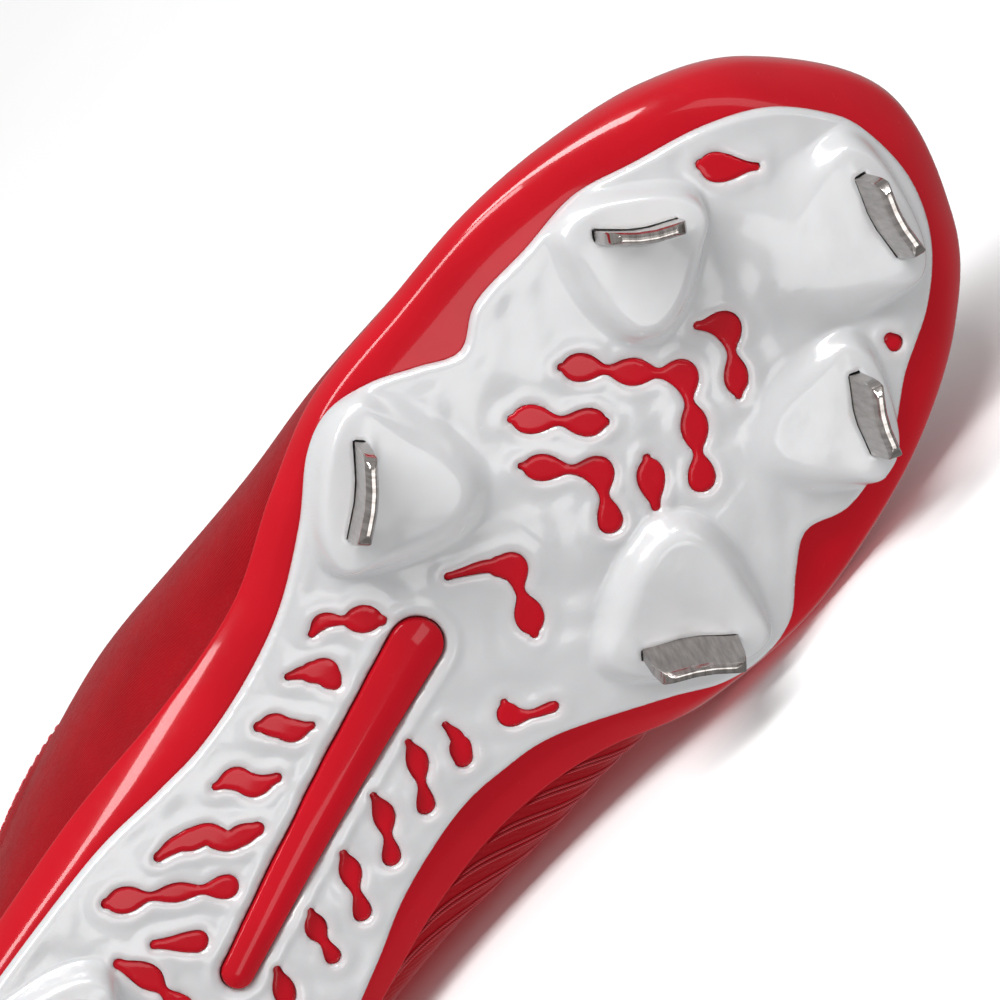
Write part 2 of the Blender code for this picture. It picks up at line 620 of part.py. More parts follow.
def make_stud(stud, material):
    """One bowed steel blade with cut corners and a bevelled tip."""
    foot, axis, width, length = stud_frame(stud)
    deep = width.cross(axis).normalized()
    shares = np.linspace(-1, 1, 5)
    root = SLOT_DEPTH - CLEARANCE
    half_tip = BLADE_TIP_WIDTH * stud.width / 2
    rows = (
        (-root, BLADE_WIDTH * stud.width / 2, BLADE_THICKNESS / 2),
        (length - 2.2 * BLADE_BEVEL, half_tip + 0.4 * BLADE_BEVEL, BLADE_THICKNESS / 2),
        (length - BLADE_BEVEL, half_tip + 0.1 * BLADE_BEVEL, BLADE_THICKNESS / 2),
        (length, half_tip - 0.8 * BLADE_BEVEL, BLADE_EDGE / 2),
    )
    grids = []
    for side in (-1, 1):
        grid = []
        for down, half, thick in rows:
            line = []
            for share in shares:
                bow = BLADE_BOW * (0.5 - share * share)
                line.append(foot + axis * down + width * (half * share) + deep * (bow + side * thick))
            grid.append(line)
        grids.append(grid)
    mesh = bmesh.new()
    for grid in grids:
        add_grid(mesh, grid)
    for end in (0, -1):
        add_grid(mesh, (grids[0][end], grids[1][end]))
        add_grid(mesh, ([row[end] for row in grids[0]], [row[end] for row in grids[1]]))
    return make_object(stud.name, mesh, material, 30)


def make_tray(material):
    """The base tray: floor under the whole foot and the rand that hugs the upper."""
    turn = ring_turns()
    _, rand = section_points(turn)
    rise = np.array([0.25, 0.5, 0.75, 1.0])[None, :] * rand[:, None]
    surface = last_surface(turn, rise)
    normal = last_normals(turn, rise)
    outer_edge = flat_offset(turn, CLEARANCE + RAND)
    inner_edge = flat_offset(turn, CLEARANCE)
    outside = np.concatenate([ring_at_height(outer_edge, TRAY_BOTTOM),
                              surface + normal * (CLEARANCE + RAND)], axis=1)
    inside = np.concatenate([ring_at_height(inner_edge, TRAY_TOP),
                             surface + normal * CLEARANCE], axis=1)
    mesh = bmesh.new()
    add_grid(mesh, outside, wrap=True)
    add_grid(mesh, inside, wrap=True)
    add_grid(mesh, np.stack([outside[:, -1], inside[:, -1]], axis=1), wrap=True)
    add_grid(mesh, floor_grid(outer_edge, TRAY_BOTTOM))
    add_grid(mesh, floor_grid(inner_edge, TRAY_TOP))
    return make_object("base_tray", mesh, material, 50)


def band_start(turn):
    """Section share at which the raised band round topline and throat begins."""
    control, _ = section_points(turn)
    pace = 3 * np.linalg.norm(control[:, 3] - control[:, 2], axis=1)
    return 1 - EYESTAY_WIDTH / np.maximum(pace, 3 * EYESTAY_WIDTH)


def eyelet_turns():
    """Ring positions of the eyelets on the inner side, evenly spaced down the throat."""
    fine = np.linspace(THROAT_TOP + 0.22, LAST_STATION - 5.05, 200)
    edge = last_surface(fine, np.full((200, 1), 0.92))[:, 0]
    travelled = np.concatenate([[0], np.cumsum(np.linalg.norm(np.diff(edge, axis=0), axis=1))])
    return np.interp(np.linspace(0, travelled[-1], EYELET_PAIRS), travelled, fine)


def eyelet_rise(turn):
    """Section share of an eyelet: the middle of the eyestay."""
    return 1 - EYELET_IN_BAND * (1 - band_start(turn))


def make_upper(material):
    """The hollow shell, with its raised topline band and eyelet holes."""
    turn = ring_turns()
    start = band_start(turn)[:, None]
    _, rand = section_points(turn)
    rand = rand[:, None]
    climb = np.linspace(0, 1, BODY_RINGS - 2)[None, :]
    low = np.concatenate([0 * rand, 0.5 * rand, rand + (start - rand) * climb], axis=1)
    high = start + (1 - start) * np.array([0.06, 0.5, 1.0])[None, :]
    rise = np.concatenate([low, high], axis=1)
    normal = last_normals(turn, rise)
    surface = last_surface(turn, rise)
    step = np.concatenate([np.zeros(BODY_RINGS), np.full(3, BAND_STEP)])[None, :, None]
    outside = surface + normal * step
    inner_rise = np.concatenate([low, start + (1 - start) * np.array([0.5, 1.0])[None, :]], axis=1)
    inside = last_surface(turn, inner_rise) - last_normals(turn, inner_rise) * WALL
    inside[:, 0] = np.column_stack([flat_offset(turn, -WALL), surface[:, 0, 2]])
    mesh = bmesh.new()
    add_grid(mesh, outside, wrap=True)
    add_grid(mesh, inside, wrap=True)
    for end in (0, -1):
        add_grid(mesh, np.stack([outside[:, end], inside[:, end]], axis=1), wrap=True)
    upper = make_object("upper", mesh, material, 40)

    holes = bmesh.new()
    inner = eyelet_turns()
    for turn_at in np.concatenate([inner, RING_STATIONS - inner]):
        at = np.array([turn_at])
        share = eyelet_rise(at)[:, None]
        centre = Vector(last_surface(at, share)[0, 0])
        out = Vector(last_normals(at, share)[0, 0])
        turned = out.to_track_quat("Z", "X").to_matrix().to_4x4()
        bmesh.ops.create_cone(holes, cap_ends=True, segments=8, radius1=EYELET_RADIUS,
                              radius2=EYELET_RADIUS, depth=6 * WALL,
                              matrix=Matrix.Translation(centre) @ turned)
    add_boolean(upper, make_object("eyelet_cuts", holes, None, cutter=True), "DIFFERENCE")
    return upper


def make_insole(material):
    """The sock liner on the tray's floor, clear of the upper's wall."""
    edge = flat_offset(ring_turns(), -WALL - CLEARANCE)
    mesh = bmesh.new()
    add_grid(mesh, floor_grid(edge, FEATHER))
    add_grid(mesh, floor_grid(edge, FEATHER + INSOLE))
    add_grid(mesh, np.concatenate([ring_at_height(edge, FEATHER),
                                   ring_at_height(edge, FEATHER + INSOLE)], axis=1), wrap=True)
    return make_object("insole", mesh, material, 40)


def throat_surface(turn, side):
    """Point and normal over the throat: side 1 and -1 are the inner and outer eyelets.

    Past the throat's edges the surface is the eyestay; between them it is a low arch.
    """
    reach = abs(side)
    at = np.array([turn if side >= 0 else RING_STATIONS - turn])
    if reach > THROAT_EDGE:
        share = 1 - (1 - eyelet_rise(at)) * (reach - THROAT_EDGE) / (1 - THROAT_EDGE)
        point = last_surface(at, share[:, None])[0, 0]
        normal = last_normals(at, share[:, None])[0, 0]
        return Vector(point) + Vector(normal) * BAND_STEP, Vector(normal)
    pair = np.array([turn, RING_STATIONS - turn])
    rise = np.ones((2, 1))
    edge = last_surface(pair, rise)[:, 0]
    normals = last_normals(pair, rise)[:, 0]
    share = 0.5 - side / (2 * THROAT_EDGE)
    point = Vector(edge[0] * (1 - share) + edge[1] * share)
    normal = Vector(normals[0] * (1 - share) + normals[1] * share).normalized()
    arch = np.linalg.norm(edge[0] - edge[1]) * THROAT_ARCH * (1 - (side / THROAT_EDGE) ** 2)
    return point + normal * (BAND_STEP + arch), normal


def make_tongue(material):
    """The padded tongue: under the throat's edges, across the gap and up past its top."""
    outer_rows = []
    middle = tuple(np.linspace(THROAT_EDGE, -THROAT_EDGE, 5))
    turns = np.concatenate([np.linspace(THROAT_TOP + 0.02, 9.5, 8), [10.6, 11.8, 13.0, LAST_STATION]])
    for turn in turns:
        tuck = TONGUE_TUCK * float(np.interp(turn, (THROAT_TOP, THROAT_TOP + 1.2), (0.25, 1.0)))
        inside = float(np.interp(turn, (THROAT_TOP, THROAT_TOP + 0.8), (0.80, 1.0)))
        under_stay = (THROAT_EDGE + tuck, THROAT_EDGE + tuck / 2)
        row = []
        for side in (*under_stay, *middle, *(-side for side in reversed(under_stay))):
            side *= inside
            point, normal = throat_surface(turn, side)
            row.append(point - normal * (BAND_STEP + WALL + TONGUE_GAP))
        outer_rows.append(row)
    top = outer_rows[0]
    climb = (top[4] - outer_rows[1][4]).normalized()
    climb = (climb + Vector((0, 0, 0.35))).normalized()
    head = []
    for share, narrow, back in ((1.0, 0.66, 0.16), (0.82, 0.88, 0.09), (0.42, 0.97, 0.02)):
        middle = top[4] + Vector((back * TONGUE_RISE, 0, 0))
        head.append([middle + (point - top[4]) * narrow + climb * (TONGUE_RISE * share)
                     for point in top])
    grid = np.array([[tuple(point) for point in row] for row in head + outer_rows])
    along = np.gradient(grid, axis=0)
    across = np.gradient(grid, axis=1)
    normal = np.cross(across, along)
    length = np.linalg.norm(normal, axis=-1, keepdims=True)
    normal = normal / np.maximum(length, 1e-12)
    for k in range(grid.shape[1]):
        normal[-1, k] = normal[-2, grid.shape[1] // 2]
    if normal[3, 4, 2] < 0:
        normal = -normal
    under = grid - normal * TONGUE
    mesh = bmesh.new()
    add_grid(mesh, grid)
    add_grid(mesh, under)
    for column in (0, -1):
        add_grid(mesh, np.stack([grid[:, column], under[:, column]], axis=1))
    add_grid(mesh, np.stack([grid[0], under[0]], axis=0))
    return make_object("tongue", mesh, material, 50)


def add_strip(mesh, ends, turns):
    """One run of lace from eyelet to eyelet over the throat, as a closed flat band."""
    count = 7
    shares = np.linspace(0, 1, count)
    frames = [throat_surface(turns[0] + (turns[1] - turns[0]) * w,
                             ends[0] + (ends[1] - ends[0]) * w) for w in shares]
    lift = LACE_LIFT + LACE_THICKNESS / 2
    spine = [point + normal * lift for point, normal in frames]
    rings = []
    for k, (_, normal) in enumerate(frames):
        ahead = (spine[min(k + 1, count - 1)] - spine[max(k - 1, 0)]).normalized()
        wide = normal.cross(ahead).normalized() * (LACE_WIDTH / 2)
        thick = ahead.cross(wide).normalized() * (LACE_THICKNESS / 2)
        rings.append([spine[k] + a * wide + b * thick
                      for a, b in ((-1, -1), (1, -1), (1, 1), (-1, 1), (-1, -1))])
    add_grid(mesh, rings)
    for ring in (rings[0], rings[-1]):
        mesh.faces.new([mesh.verts.new(point) for point in ring[:4]])


def make_lace(material):
    """The criss-cross lace, its runs joined into one solid clear of tongue and upper."""
    rows = eyelet_turns()
    runs = [((1, -1), (rows[-1], rows[-1]))]
    for upper_row, lower_row in zip(rows, rows[1:]):
        runs.append(((1, -1), (lower_row, upper_row)))
        runs.append(((-1, 1), (lower_row, upper_row)))
    lace = None
    for number, (ends, turns) in enumerate(runs):
        mesh = bmesh.new()
        add_strip(mesh, ends, turns)
        if lace is None:
            lace = make_object("lace", mesh, material, 40)
        else:
            run = make_object(f"lace_run_{number}", mesh, None, cutter=True)
            add_boolean(lace, run, "UNION")
    return lace


def resting_turn(solids):
    """Rotation that lays the shoe on its inner side, and the shift that sets it on the floor."""
    cloud = bmesh.new()
    total = 0.0
    centre = Vector((0, 0, 0))
    for solid in solids:
        density = DENSITY[solid.data.materials[0].name]
        for vertex in solid.data.vertices:
            cloud.verts.new(vertex.co)
        for face in solid.data.polygons:
            corners = [solid.data.vertices[k].co for k in face.vertices]
            for k in range(1, len(corners) - 1):
                share = density * corners[0].dot(corners[k].cross(corners[k + 1])) / 6
                total += share
                centre += share * (corners[0] + corners[k] + corners[k + 1]) / 4
    centre /= total
    hull = bmesh.ops.convex_hull(cloud, input=cloud.verts)
    faces = [item for item in hull["geom"] if isinstance(item, bmesh.types.BMFace)]
    best = None
    for face in faces:
        face.normal_update()
        normal = face.normal.copy()
        corner = face.verts[0].co
        if normal.dot(corner - centre) < 0:
            normal = -normal
        if normal.y < 0.8:
            continue
        shadow = centre + normal * normal.dot(corner - centre)
        corners = [vertex.co for vertex in face.verts]
        turns = [(b - a).cross(shadow - a).dot(normal) for a, b in
                 zip(corners, corners[1:] + corners[:1])]
        if (min(turns) >= 0 or max(turns) <= 0) and (best is None or normal.y > best.y):
            best = normal
    cloud.free()
    down = best
    ahead = (Vector((1, 0, 0)) - down * down.x).normalized()
    lateral_up = -down
    sole_side = lateral_up.cross(ahead)
    turn = Matrix((ahead, sole_side, lateral_up))
    corners = [turn @ vertex.co for solid in solids for vertex in solid.data.vertices]
    low = Vector(min(point[k] for point in corners) for k in range(3))
    high = Vector(max(point[k] for point in corners) for k in range(3))
    shift = -Vector(((low.x + high.x) / 2, (low.y + high.y) / 2, low.z))
    return Matrix.Translation(shift) @ turn.to_4x4()


def main():
    clear_scene()
    red = make_material("red gloss plastic", (0.51, 0.008, 0.022), 0.22)
    plate_white = make_material("white plastic", (0.78, 0.78, 0.79), 0.30)
    cloth = make_material("red upper cloth", (0.42, 0.008, 0.02), 0.55)
    steel = make_material("steel", (0.62, 0.63, 0.66), 0.18, 1.0)
    liner = make_material("liner foam", (0.05, 0.05, 0.055), 0.9)
    cord = make_material("lace cord", (0.40, 0.01, 0.02), 0.8)
    solids = [make_upper(cloth), make_tray(red), make_plate(plate_white), make_rib(red)]
    solids += [make_insole(liner), make_tongue(cloth), make_lace(cord)]
    solids += [make_stud(stud, steel) for stud in STUDS]

    shoe = bpy.data.objects.new("shoe", None)
    bpy.context.scene.collection.objects.link(shoe)
    shoe.matrix_world = resting_turn(solids)
    for thing in list(bpy.context.scene.collection.objects):
        if thing.type == "MESH":
            thing.parent = shoe


if __name__ == "__main__":
    main()
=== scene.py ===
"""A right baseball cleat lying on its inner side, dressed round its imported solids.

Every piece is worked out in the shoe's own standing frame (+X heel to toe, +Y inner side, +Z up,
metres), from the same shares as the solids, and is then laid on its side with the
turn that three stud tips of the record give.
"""

import json
import logging
import math
from dataclasses import dataclass, field
from enum import Enum
from typing import NamedTuple, Optional, Sequence

import bmesh
import bpy
import numpy as np
from mathutils import Matrix, Vector
from mathutils.geometry import delaunay_2d_cdt


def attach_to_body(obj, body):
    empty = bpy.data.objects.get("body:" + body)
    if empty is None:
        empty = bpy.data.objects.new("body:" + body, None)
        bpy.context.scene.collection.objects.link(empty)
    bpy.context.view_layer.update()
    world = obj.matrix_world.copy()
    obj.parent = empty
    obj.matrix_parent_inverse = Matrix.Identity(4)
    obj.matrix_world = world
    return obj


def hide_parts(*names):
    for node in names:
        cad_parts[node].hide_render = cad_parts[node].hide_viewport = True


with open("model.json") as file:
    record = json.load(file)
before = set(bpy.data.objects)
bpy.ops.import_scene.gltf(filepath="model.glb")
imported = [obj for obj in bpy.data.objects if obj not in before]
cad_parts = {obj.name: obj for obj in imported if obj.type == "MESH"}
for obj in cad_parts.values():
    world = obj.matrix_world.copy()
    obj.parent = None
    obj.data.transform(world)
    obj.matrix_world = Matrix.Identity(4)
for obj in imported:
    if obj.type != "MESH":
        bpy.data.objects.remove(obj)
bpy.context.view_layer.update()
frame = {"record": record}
MM = 0.001
log = logging.getLogger("cleat")
Array, Material = np.ndarray, bpy.types.Material
Piece, Socket = bpy.types.Object, bpy.types.NodeSocket


@dataclass(frozen=True)
class Sizes:
    """Named sizes of the shoe in metres, as its solids have them."""
    length: float = 0.292
    ball_width: float = 0.098
    heel_height: float = 0.070
    instep_height: float = 0.082
    arch_rise: float = 0.0055
    heel_rise: float = 0.007
    toe_spring: float = 0.017
    edge_lift: float = 0.0032
    stud_length: float = 0.011
    boss_height: float = 0.006
    plate: float = 0.0022
    tray_floor: float = 0.0015
    rand: float = 0.0015
    wall: float = 0.0022
    band_step: float = 0.0008
    eyestay_width: float = 0.018
    insole: float = 0.0035
    tongue: float = 0.0035
    clearance: float = 0.0003
    bead_radius: float = 0.0028
    neck_radius: float = 0.0010
    rib_proud: float = 0.0015
    rib_front: float = 0.0052
    rib_back: float = 0.0032
    blade_width: float = 0.0185
    blade_tip_width: float = 0.0155
    blade_thickness: float = 0.0024
    blade_edge: float = 0.0012
    blade_bevel: float = 0.0018
    blade_bow: float = 0.0009
    slot_depth: float = 0.0030
    boss_back: float = 0.0075
    boss_half_width: float = 0.0175
    pad_half_width: float = 0.0122
    pad_half_depth: float = 0.0038
    shoulder_out: float = 0.66
    shoulder_out_inward: float = 0.86
    shoulder_rise: float = 0.86
    shoulder_rise_inward: float = 0.72
    eyelet_pairs: int = 6
    eyelet_radius: float = 0.0022
    lace_width: float = 0.0068
    lace_thickness: float = 0.0013
    lace_lift: float = 0.0006
    tongue_rise: float = 0.024
    tongue_gap: float = 0.0008
    tongue_tuck: float = 0.8

    @property
    def half_ball(self) -> float:
        """Half the width across the ball."""
        return self.ball_width / 2

    @property
    def tray_bottom(self) -> float:
        """Underside of the red tray over the plate's underside."""
        return self.plate + self.clearance

    @property
    def tray_top(self) -> float:
        """Top of the tray's floor over the plate's underside."""
        return self.tray_bottom + self.tray_floor

    @property
    def tongue_depth(self) -> float:
        """Face of the tongue under the last's own surface."""
        return self.band_step + self.wall + self.tongue_gap

    @property
    def feather(self) -> float:
        """Lower edge of the upper over the plate's underside."""
        return self.tray_top + self.clearance


S = Sizes()


class Profile(NamedTuple):
    """The underside along the shoe, as shares of the named rises."""
    along: float
    heel: float
    arch: float
    spring: float


SOLE_PROFILE = (
    Profile(0.00, 1.0, 0.0, 0.0), Profile(0.05, 0.5, 0.0, 0.0), Profile(0.12, 0.1, 0.24, 0.0),
    Profile(0.25, 0.0, 0.45, 0.0), Profile(0.40, 0.0, 1.0, 0.0), Profile(0.52, 0.0, 0.73, 0.0),
    Profile(0.62, 0.0, 0.18, 0.0), Profile(0.70, 0.0, 0.0, 0.0), Profile(0.78, 0.0, 0.0, 0.05),
    Profile(0.85, 0.0, 0.0, 0.21), Profile(0.93, 0.0, 0.0, 0.53), Profile(1.00, 0.0, 0.0, 1.0),
)


class Station(NamedTuple):
    """One pair of sections of the last, inner and outer side, from feather edge to topline.

    Along is a share of the length, across of half the ball width, up of the local height. Rand is
    how far up the section the tray's wall reaches.
    """
    along: float
    belly_along: float
    crown_along: float
    edge_along: float
    feather_in: float
    feather_out: float
    belly_in: float
    belly_out: float
    crown_in: float
    crown_out: float
    edge_in: float
    edge_out: float
    belly_up: float
    crown_up: float
    edge_up: float
    instep: float
    rand: float


STATIONS = tuple(Station(*row) for row in (
    (.024, -.012, .006, .034, 0, 0, 0, 0, 0, 0, 0, 0, .25, .74, 1.0, 0, .28),
    (.045, .019, .036, .058, .39, -.38, .52, -.50, .41, -.41, .32, -.32, .25, .74, .985, 0, .28),
    (.106, .096, .106, .120, .60, -.59, .75, -.73, .56, -.56, .46, -.46, .20, .71, .943, 0, .23),
    (.200, .195, .199, .205, .63, -.63, .84, -.82, .66, -.68, .53, -.53, .19, .66, .857, 0, .20),
    (.300, .298, .295, .295, .53, -.62, .97, -.88, .82, -.88, .60, -.59, .17, .64, .816, .5, .19),
    (.400, .397, .387, .377, .44, -.56, 1.14, -.99, .93, -.98, .41, -.41, .145, .72, 1.0, 1, .15),
    (.486, .486, .476, .455, .44, -.61, 1.26, -1.05, .94, -.97, .35, -.35, .12, .72, .927, 1, .14),
    (.558, .558, .545, .520, .57, -.80, 1.23, -1.10, .92, -.90, .31, -.32, .11, .71, .854, 1, .16),
    (.623, .627, .606, .575, .86, -.93, 1.18, -1.14, .86, -.87, .28, -.29, .11, .70, .780, 1, .19),
    (.695, .702, .678, .620, .97, -.93, 1.26, -1.12, .84, -.86, .24, -.25, .11, .66, .707, 1, .19),
    (.767, .777, .750, .644, .97, -.90, 1.25, -1.10, .80, -.78, .17, -.18, .115, .63, .665, 1, .20),
    (.832, .850, .815, .656, .93, -.79, 1.18, -.99, .76, -.66, .10, -.11, .145, .61, .646, 1, .22),
    (.896, .926, .875, .661, .80, -.60, 1.06, -.78, .60, -.49, .05, -.05, .18, .585, .640, 1, .25),
    (.944, .990, .926, .663, .58, -.32, .81, -.44, .41, -.23, .02, -.02, .195, .573, .634, 1, .30),
    (.971, 1.041, .958, .6635, .16, .16, .18, .18, .12, .12, 0, 0, .195, .573, .634, 1, .32),
))
INNER_RAND = {4: .13, 5: .085, 6: .080, 7: .115}     # the inner waist shows more of the upper
THROAT_TOP = 5          # station where the throat's two edges end at the top
LAST_STATION = len(STATIONS) - 1
RING = 2 * LAST_STATION


class EdgePoint(NamedTuple):
    """A point of an outline: share of the length, share of half the ball width."""
    along: float
    across: float


PLATE_OUTLINE = tuple(EdgePoint(*pair) for pair in (
    (.022, 0), (.032, .26), (.065, .52), (.13, .65), (.20, .66), (.28, .61), (.35, .52),
    (.40, .44), (.46, .405), (.50, .44), (.54, .525), (.60, .78), (.63, .93), (.66, 1.0),
    (.69, .99), (.717, .88),
    (.742, .81), (.772, .90), (.82, .885), (.861, .77), (.905, .69), (.941, .55), (.963, .34),
    (.9685, .08), (.961, -.09), (.94, -.30), (.905, -.475), (.86, -.62), (.82, -.74), (.775, -.77),
    (.73, -.80), (.70, -.735), (.675, -.83), (.65, -.93), (.62, -.99), (.59, -.95), (.55, -.80),
    (.50, -.66), (.45, -.59), (.40, -.57), (.36, -.60), (.30, -.66), (.20, -.67), (.12, -.64),
    (.058, -.48), (.030, -.22)))
RIB_ENDS = np.array([EdgePoint(.534, -.165), EdgePoint(.297, .065)]) * (S.length, S.half_ball)


class Stud(NamedTuple):
    """A blade: its place, the way its boss points inward, boss length, lean and tip lift."""
    name: str
    along: float
    across: float
    inward: float       # degrees from +X
    reach: float        # boss from the blade to its inner point, in metres
    width: float        # share of the full blade width
    taper: float        # how much its boss narrows inward
    lean_along: float
    lean_across: float
    tip_lift: float     # tip above the ground, as a share of the toe spring


STUDS = (
    Stud("stud_fore_lateral", .826, -.505, 134, .0215, .87, .42, .05, -.20, 0),
    Stud("stud_toe", .929, .270, 203, .0250, .93, .05, .10, -.10, .35),
    Stud("stud_fore_medial", .823, .665, 216, .0220, .86, .30, .08, -.08, 0),
    Stud("stud_ball_lateral", .592, -.755, 57, .0245, 1, .42, .03, -.12, 0),
    Stud("stud_ball_medial", .638, .665, -45, .0250, 1, .42, -.15, .05, 0),
    Stud("stud_heel_front_lateral", .200, -.44, 110, .0170, .9, .35, 0, -.10, 0),
    Stud("stud_heel_front_medial", .200, .44, -110, .0170, .9, .35, 0, .10, 0),
    Stud("stud_heel_back_lateral", .078, -.30, 52, .0150, .9, .35, -.10, -.06, 0),
    Stud("stud_heel_back_medial", .078, .30, -52, .0150, .9, .35, -.10, .06, 0),
)


class Bead(NamedTuple):
    """A widening of a window: place as shares, size as a share of the bead radius."""
    along: float
    across: float
    size: float


WINDOWS = tuple(tuple(Bead(*bead) for bead in chain) for chain in (
    ((.885, -.41, .35), (.890, -.35, 1), (.906, -.22, .3)),
    ((.803, -.06, .3), (.814, .04, 1), (.792, .19, .9), (.784, .24, .3)),
    ((.730, -.40, .3), (.737, -.34, 1), (.755, -.16, .95), (.773, .01, 1), (.751, .17, 1),
     (.728, .32, 1)),
    ((.685, -.43, .3), (.692, -.37, 1), (.713, -.18, 1), (.719, -.13, .35)),
    ((.665, -.29, .25), (.672, -.22, .95), (.692, -.03, 1), (.671, .13, .9)),
    ((.717, .09, .3), (.709, .15, 1), (.696, .24, .35)),
    ((.581, -.24, .3), (.603, -.13, .5), (.610, -.07, 1), (.591, .12, 1), (.584, .18, .3)),
    ((.872, .625, .45), (.872, .655, .6)),
    ((.537, .26, .25), (.532, .31, .8), (.541, .38, .35), (.553, .43, .45)),
    ((.500, -.51, .3), (.510, -.51, .6), (.527, -.39, 1), (.533, -.33, .4)),
    ((.469, -.48, .3), (.477, -.44, .5), (.485, -.38, .95), (.483, -.32, .5)),
    ((.432, -.45, .4), (.439, -.40, .85), (.442, -.34, .85), (.452, -.29, .35)),
    ((.385, -.44, .3), (.397, -.39, .85), (.399, -.33, .85), (.412, -.27, .4)),
    ((.328, -.46, .4), (.341, -.43, .6), (.358, -.35, .75), (.360, -.28, .7), (.378, -.21, .55)),
    ((.285, -.52, .4), (.293, -.47, .95), (.316, -.32, .7), (.337, -.17, .85)),
    ((.281, -.27, .35), (.298, -.14, .8)),
    ((.503, .13, .25), (.500, .21, .5), (.492, .28, .7)),
    ((.480, .06, .25), (.473, .14, .8), (.453, .28, .7)),
    ((.439, .08, .25), (.432, .17, .8), (.413, .30, .7)),
    ((.397, .13, .3), (.390, .20, .8), (.373, .34, .7)),
    ((.355, .16, .25), (.348, .22, .8), (.339, .35, .6)),
    ((.312, .19, .3), (.303, .27, .8), (.290, .40, .7)),
    ((.258, -.34, .4), (.262, -.22, .9), (.258, -.04, .8), (.262, .14, .9), (.258, .30, .4)),
    ((.146, -.26, .35), (.140, -.17, .9), (.146, 0, .9), (.140, .17, .9), (.146, .26, .35)),
))


def unit(vectors: Array) -> Array:
    """Vectors of length one along the last axis."""
    return vectors / np.maximum(np.linalg.norm(vectors, axis=-1, keepdims=True), 1e-12)


def smoothstep(low: float, high: float, value: Array) -> Array:
    """Cubic step from 0 at low to 1 at high."""
    f = np.clip((value - low) / (high - low), 0, 1)
    return f * f * (3 - 2 * f)


def hermite(ends: tuple, slopes: tuple, span: Array, f: Array) -> Array:
    """Cubic between two ends with their slopes, read at shares f of a span."""
    return (ends[0] * (1 + 2 * f) * (1 - f) ** 2 + ends[1] * f * f * (3 - 2 * f)
            + span * (slopes[0] * f * (1 - f) ** 2 - slopes[1] * f * f * (1 - f)))


def line_share(points: Array, start: Array, end: Array) -> Array:
    """How far along a line each point lies, from 0 at its start to 1 at its end."""
    line = end - start
    return np.clip(((points - start) @ line) / (line @ line), 0.0, 1.0)


def round_over(count: int) -> Array:
    """Angles over half a circle, both ends left out."""
    return np.linspace(0, math.pi, count)[1:-1]


def compact(count: int, corners: Array) -> tuple[Array, Array]:
    """Number anew the points that faces use.

    Args:
        count: how many points there are.
        corners: point numbers of the faces.

    Returns:
        The used points' numbers, and every point's new number, -1 where it isn't used.
    """
    used = np.unique(corners)
    renumber = np.full(count, -1)
    renumber[used] = np.arange(len(used))
    return used, renumber


def smooth_min(a: Array, b: Array, width: float) -> Array:
    """Lesser of two fields, with the corner between them rounded over a width."""
    return np.minimum(a, b) - np.maximum(width - np.abs(a - b), 0) ** 2 / (4 * width)


def smooth_max(a: Array, b: Array, width: float) -> Array:
    """Greater of two fields, with the corner between them rounded over a width."""
    return -smooth_min(-a, -b, width)


def travelled(points: Array) -> Array:
    """Length along a path of points, from its start."""
    return np.concatenate([[0], np.cumsum(np.linalg.norm(np.diff(points, axis=0), axis=-1))])


def respace(points: Array, count: int) -> Array:
    """The same path with a number of evenly spaced points.

    Args:
        points: the path.
        count: how many points it gets.

    Returns:
        The evenly spaced points.
    """
    way = travelled(points)
    at = np.linspace(0, way[-1], count)
    return np.column_stack([np.interp(at, way, points[:, k]) for k in range(points.shape[1])])


def closed_curve(rows: Sequence, at: Array) -> Array:
    """Read a smooth closed curve (Catmull-Rom cubics) through a table's rows.

    Args:
        rows: the table's rows.
        at: positions, counted in rows.

    Returns:
        One row of values for each position.
    """
    rows = np.asarray(rows, float)
    at = np.atleast_1d(np.asarray(at, float))
    first = np.floor(at).astype(int)
    f = (at - first)[:, None]
    before, start, end, after = (rows[(first + k) % len(rows)] for k in (-1, 0, 1, 2))
    return 0.5 * (2 * start + (end - before) * f
                  + (2 * before - 5 * start + 4 * end - after) * f ** 2
                  + (3 * start - before - 3 * end + after) * f ** 3)


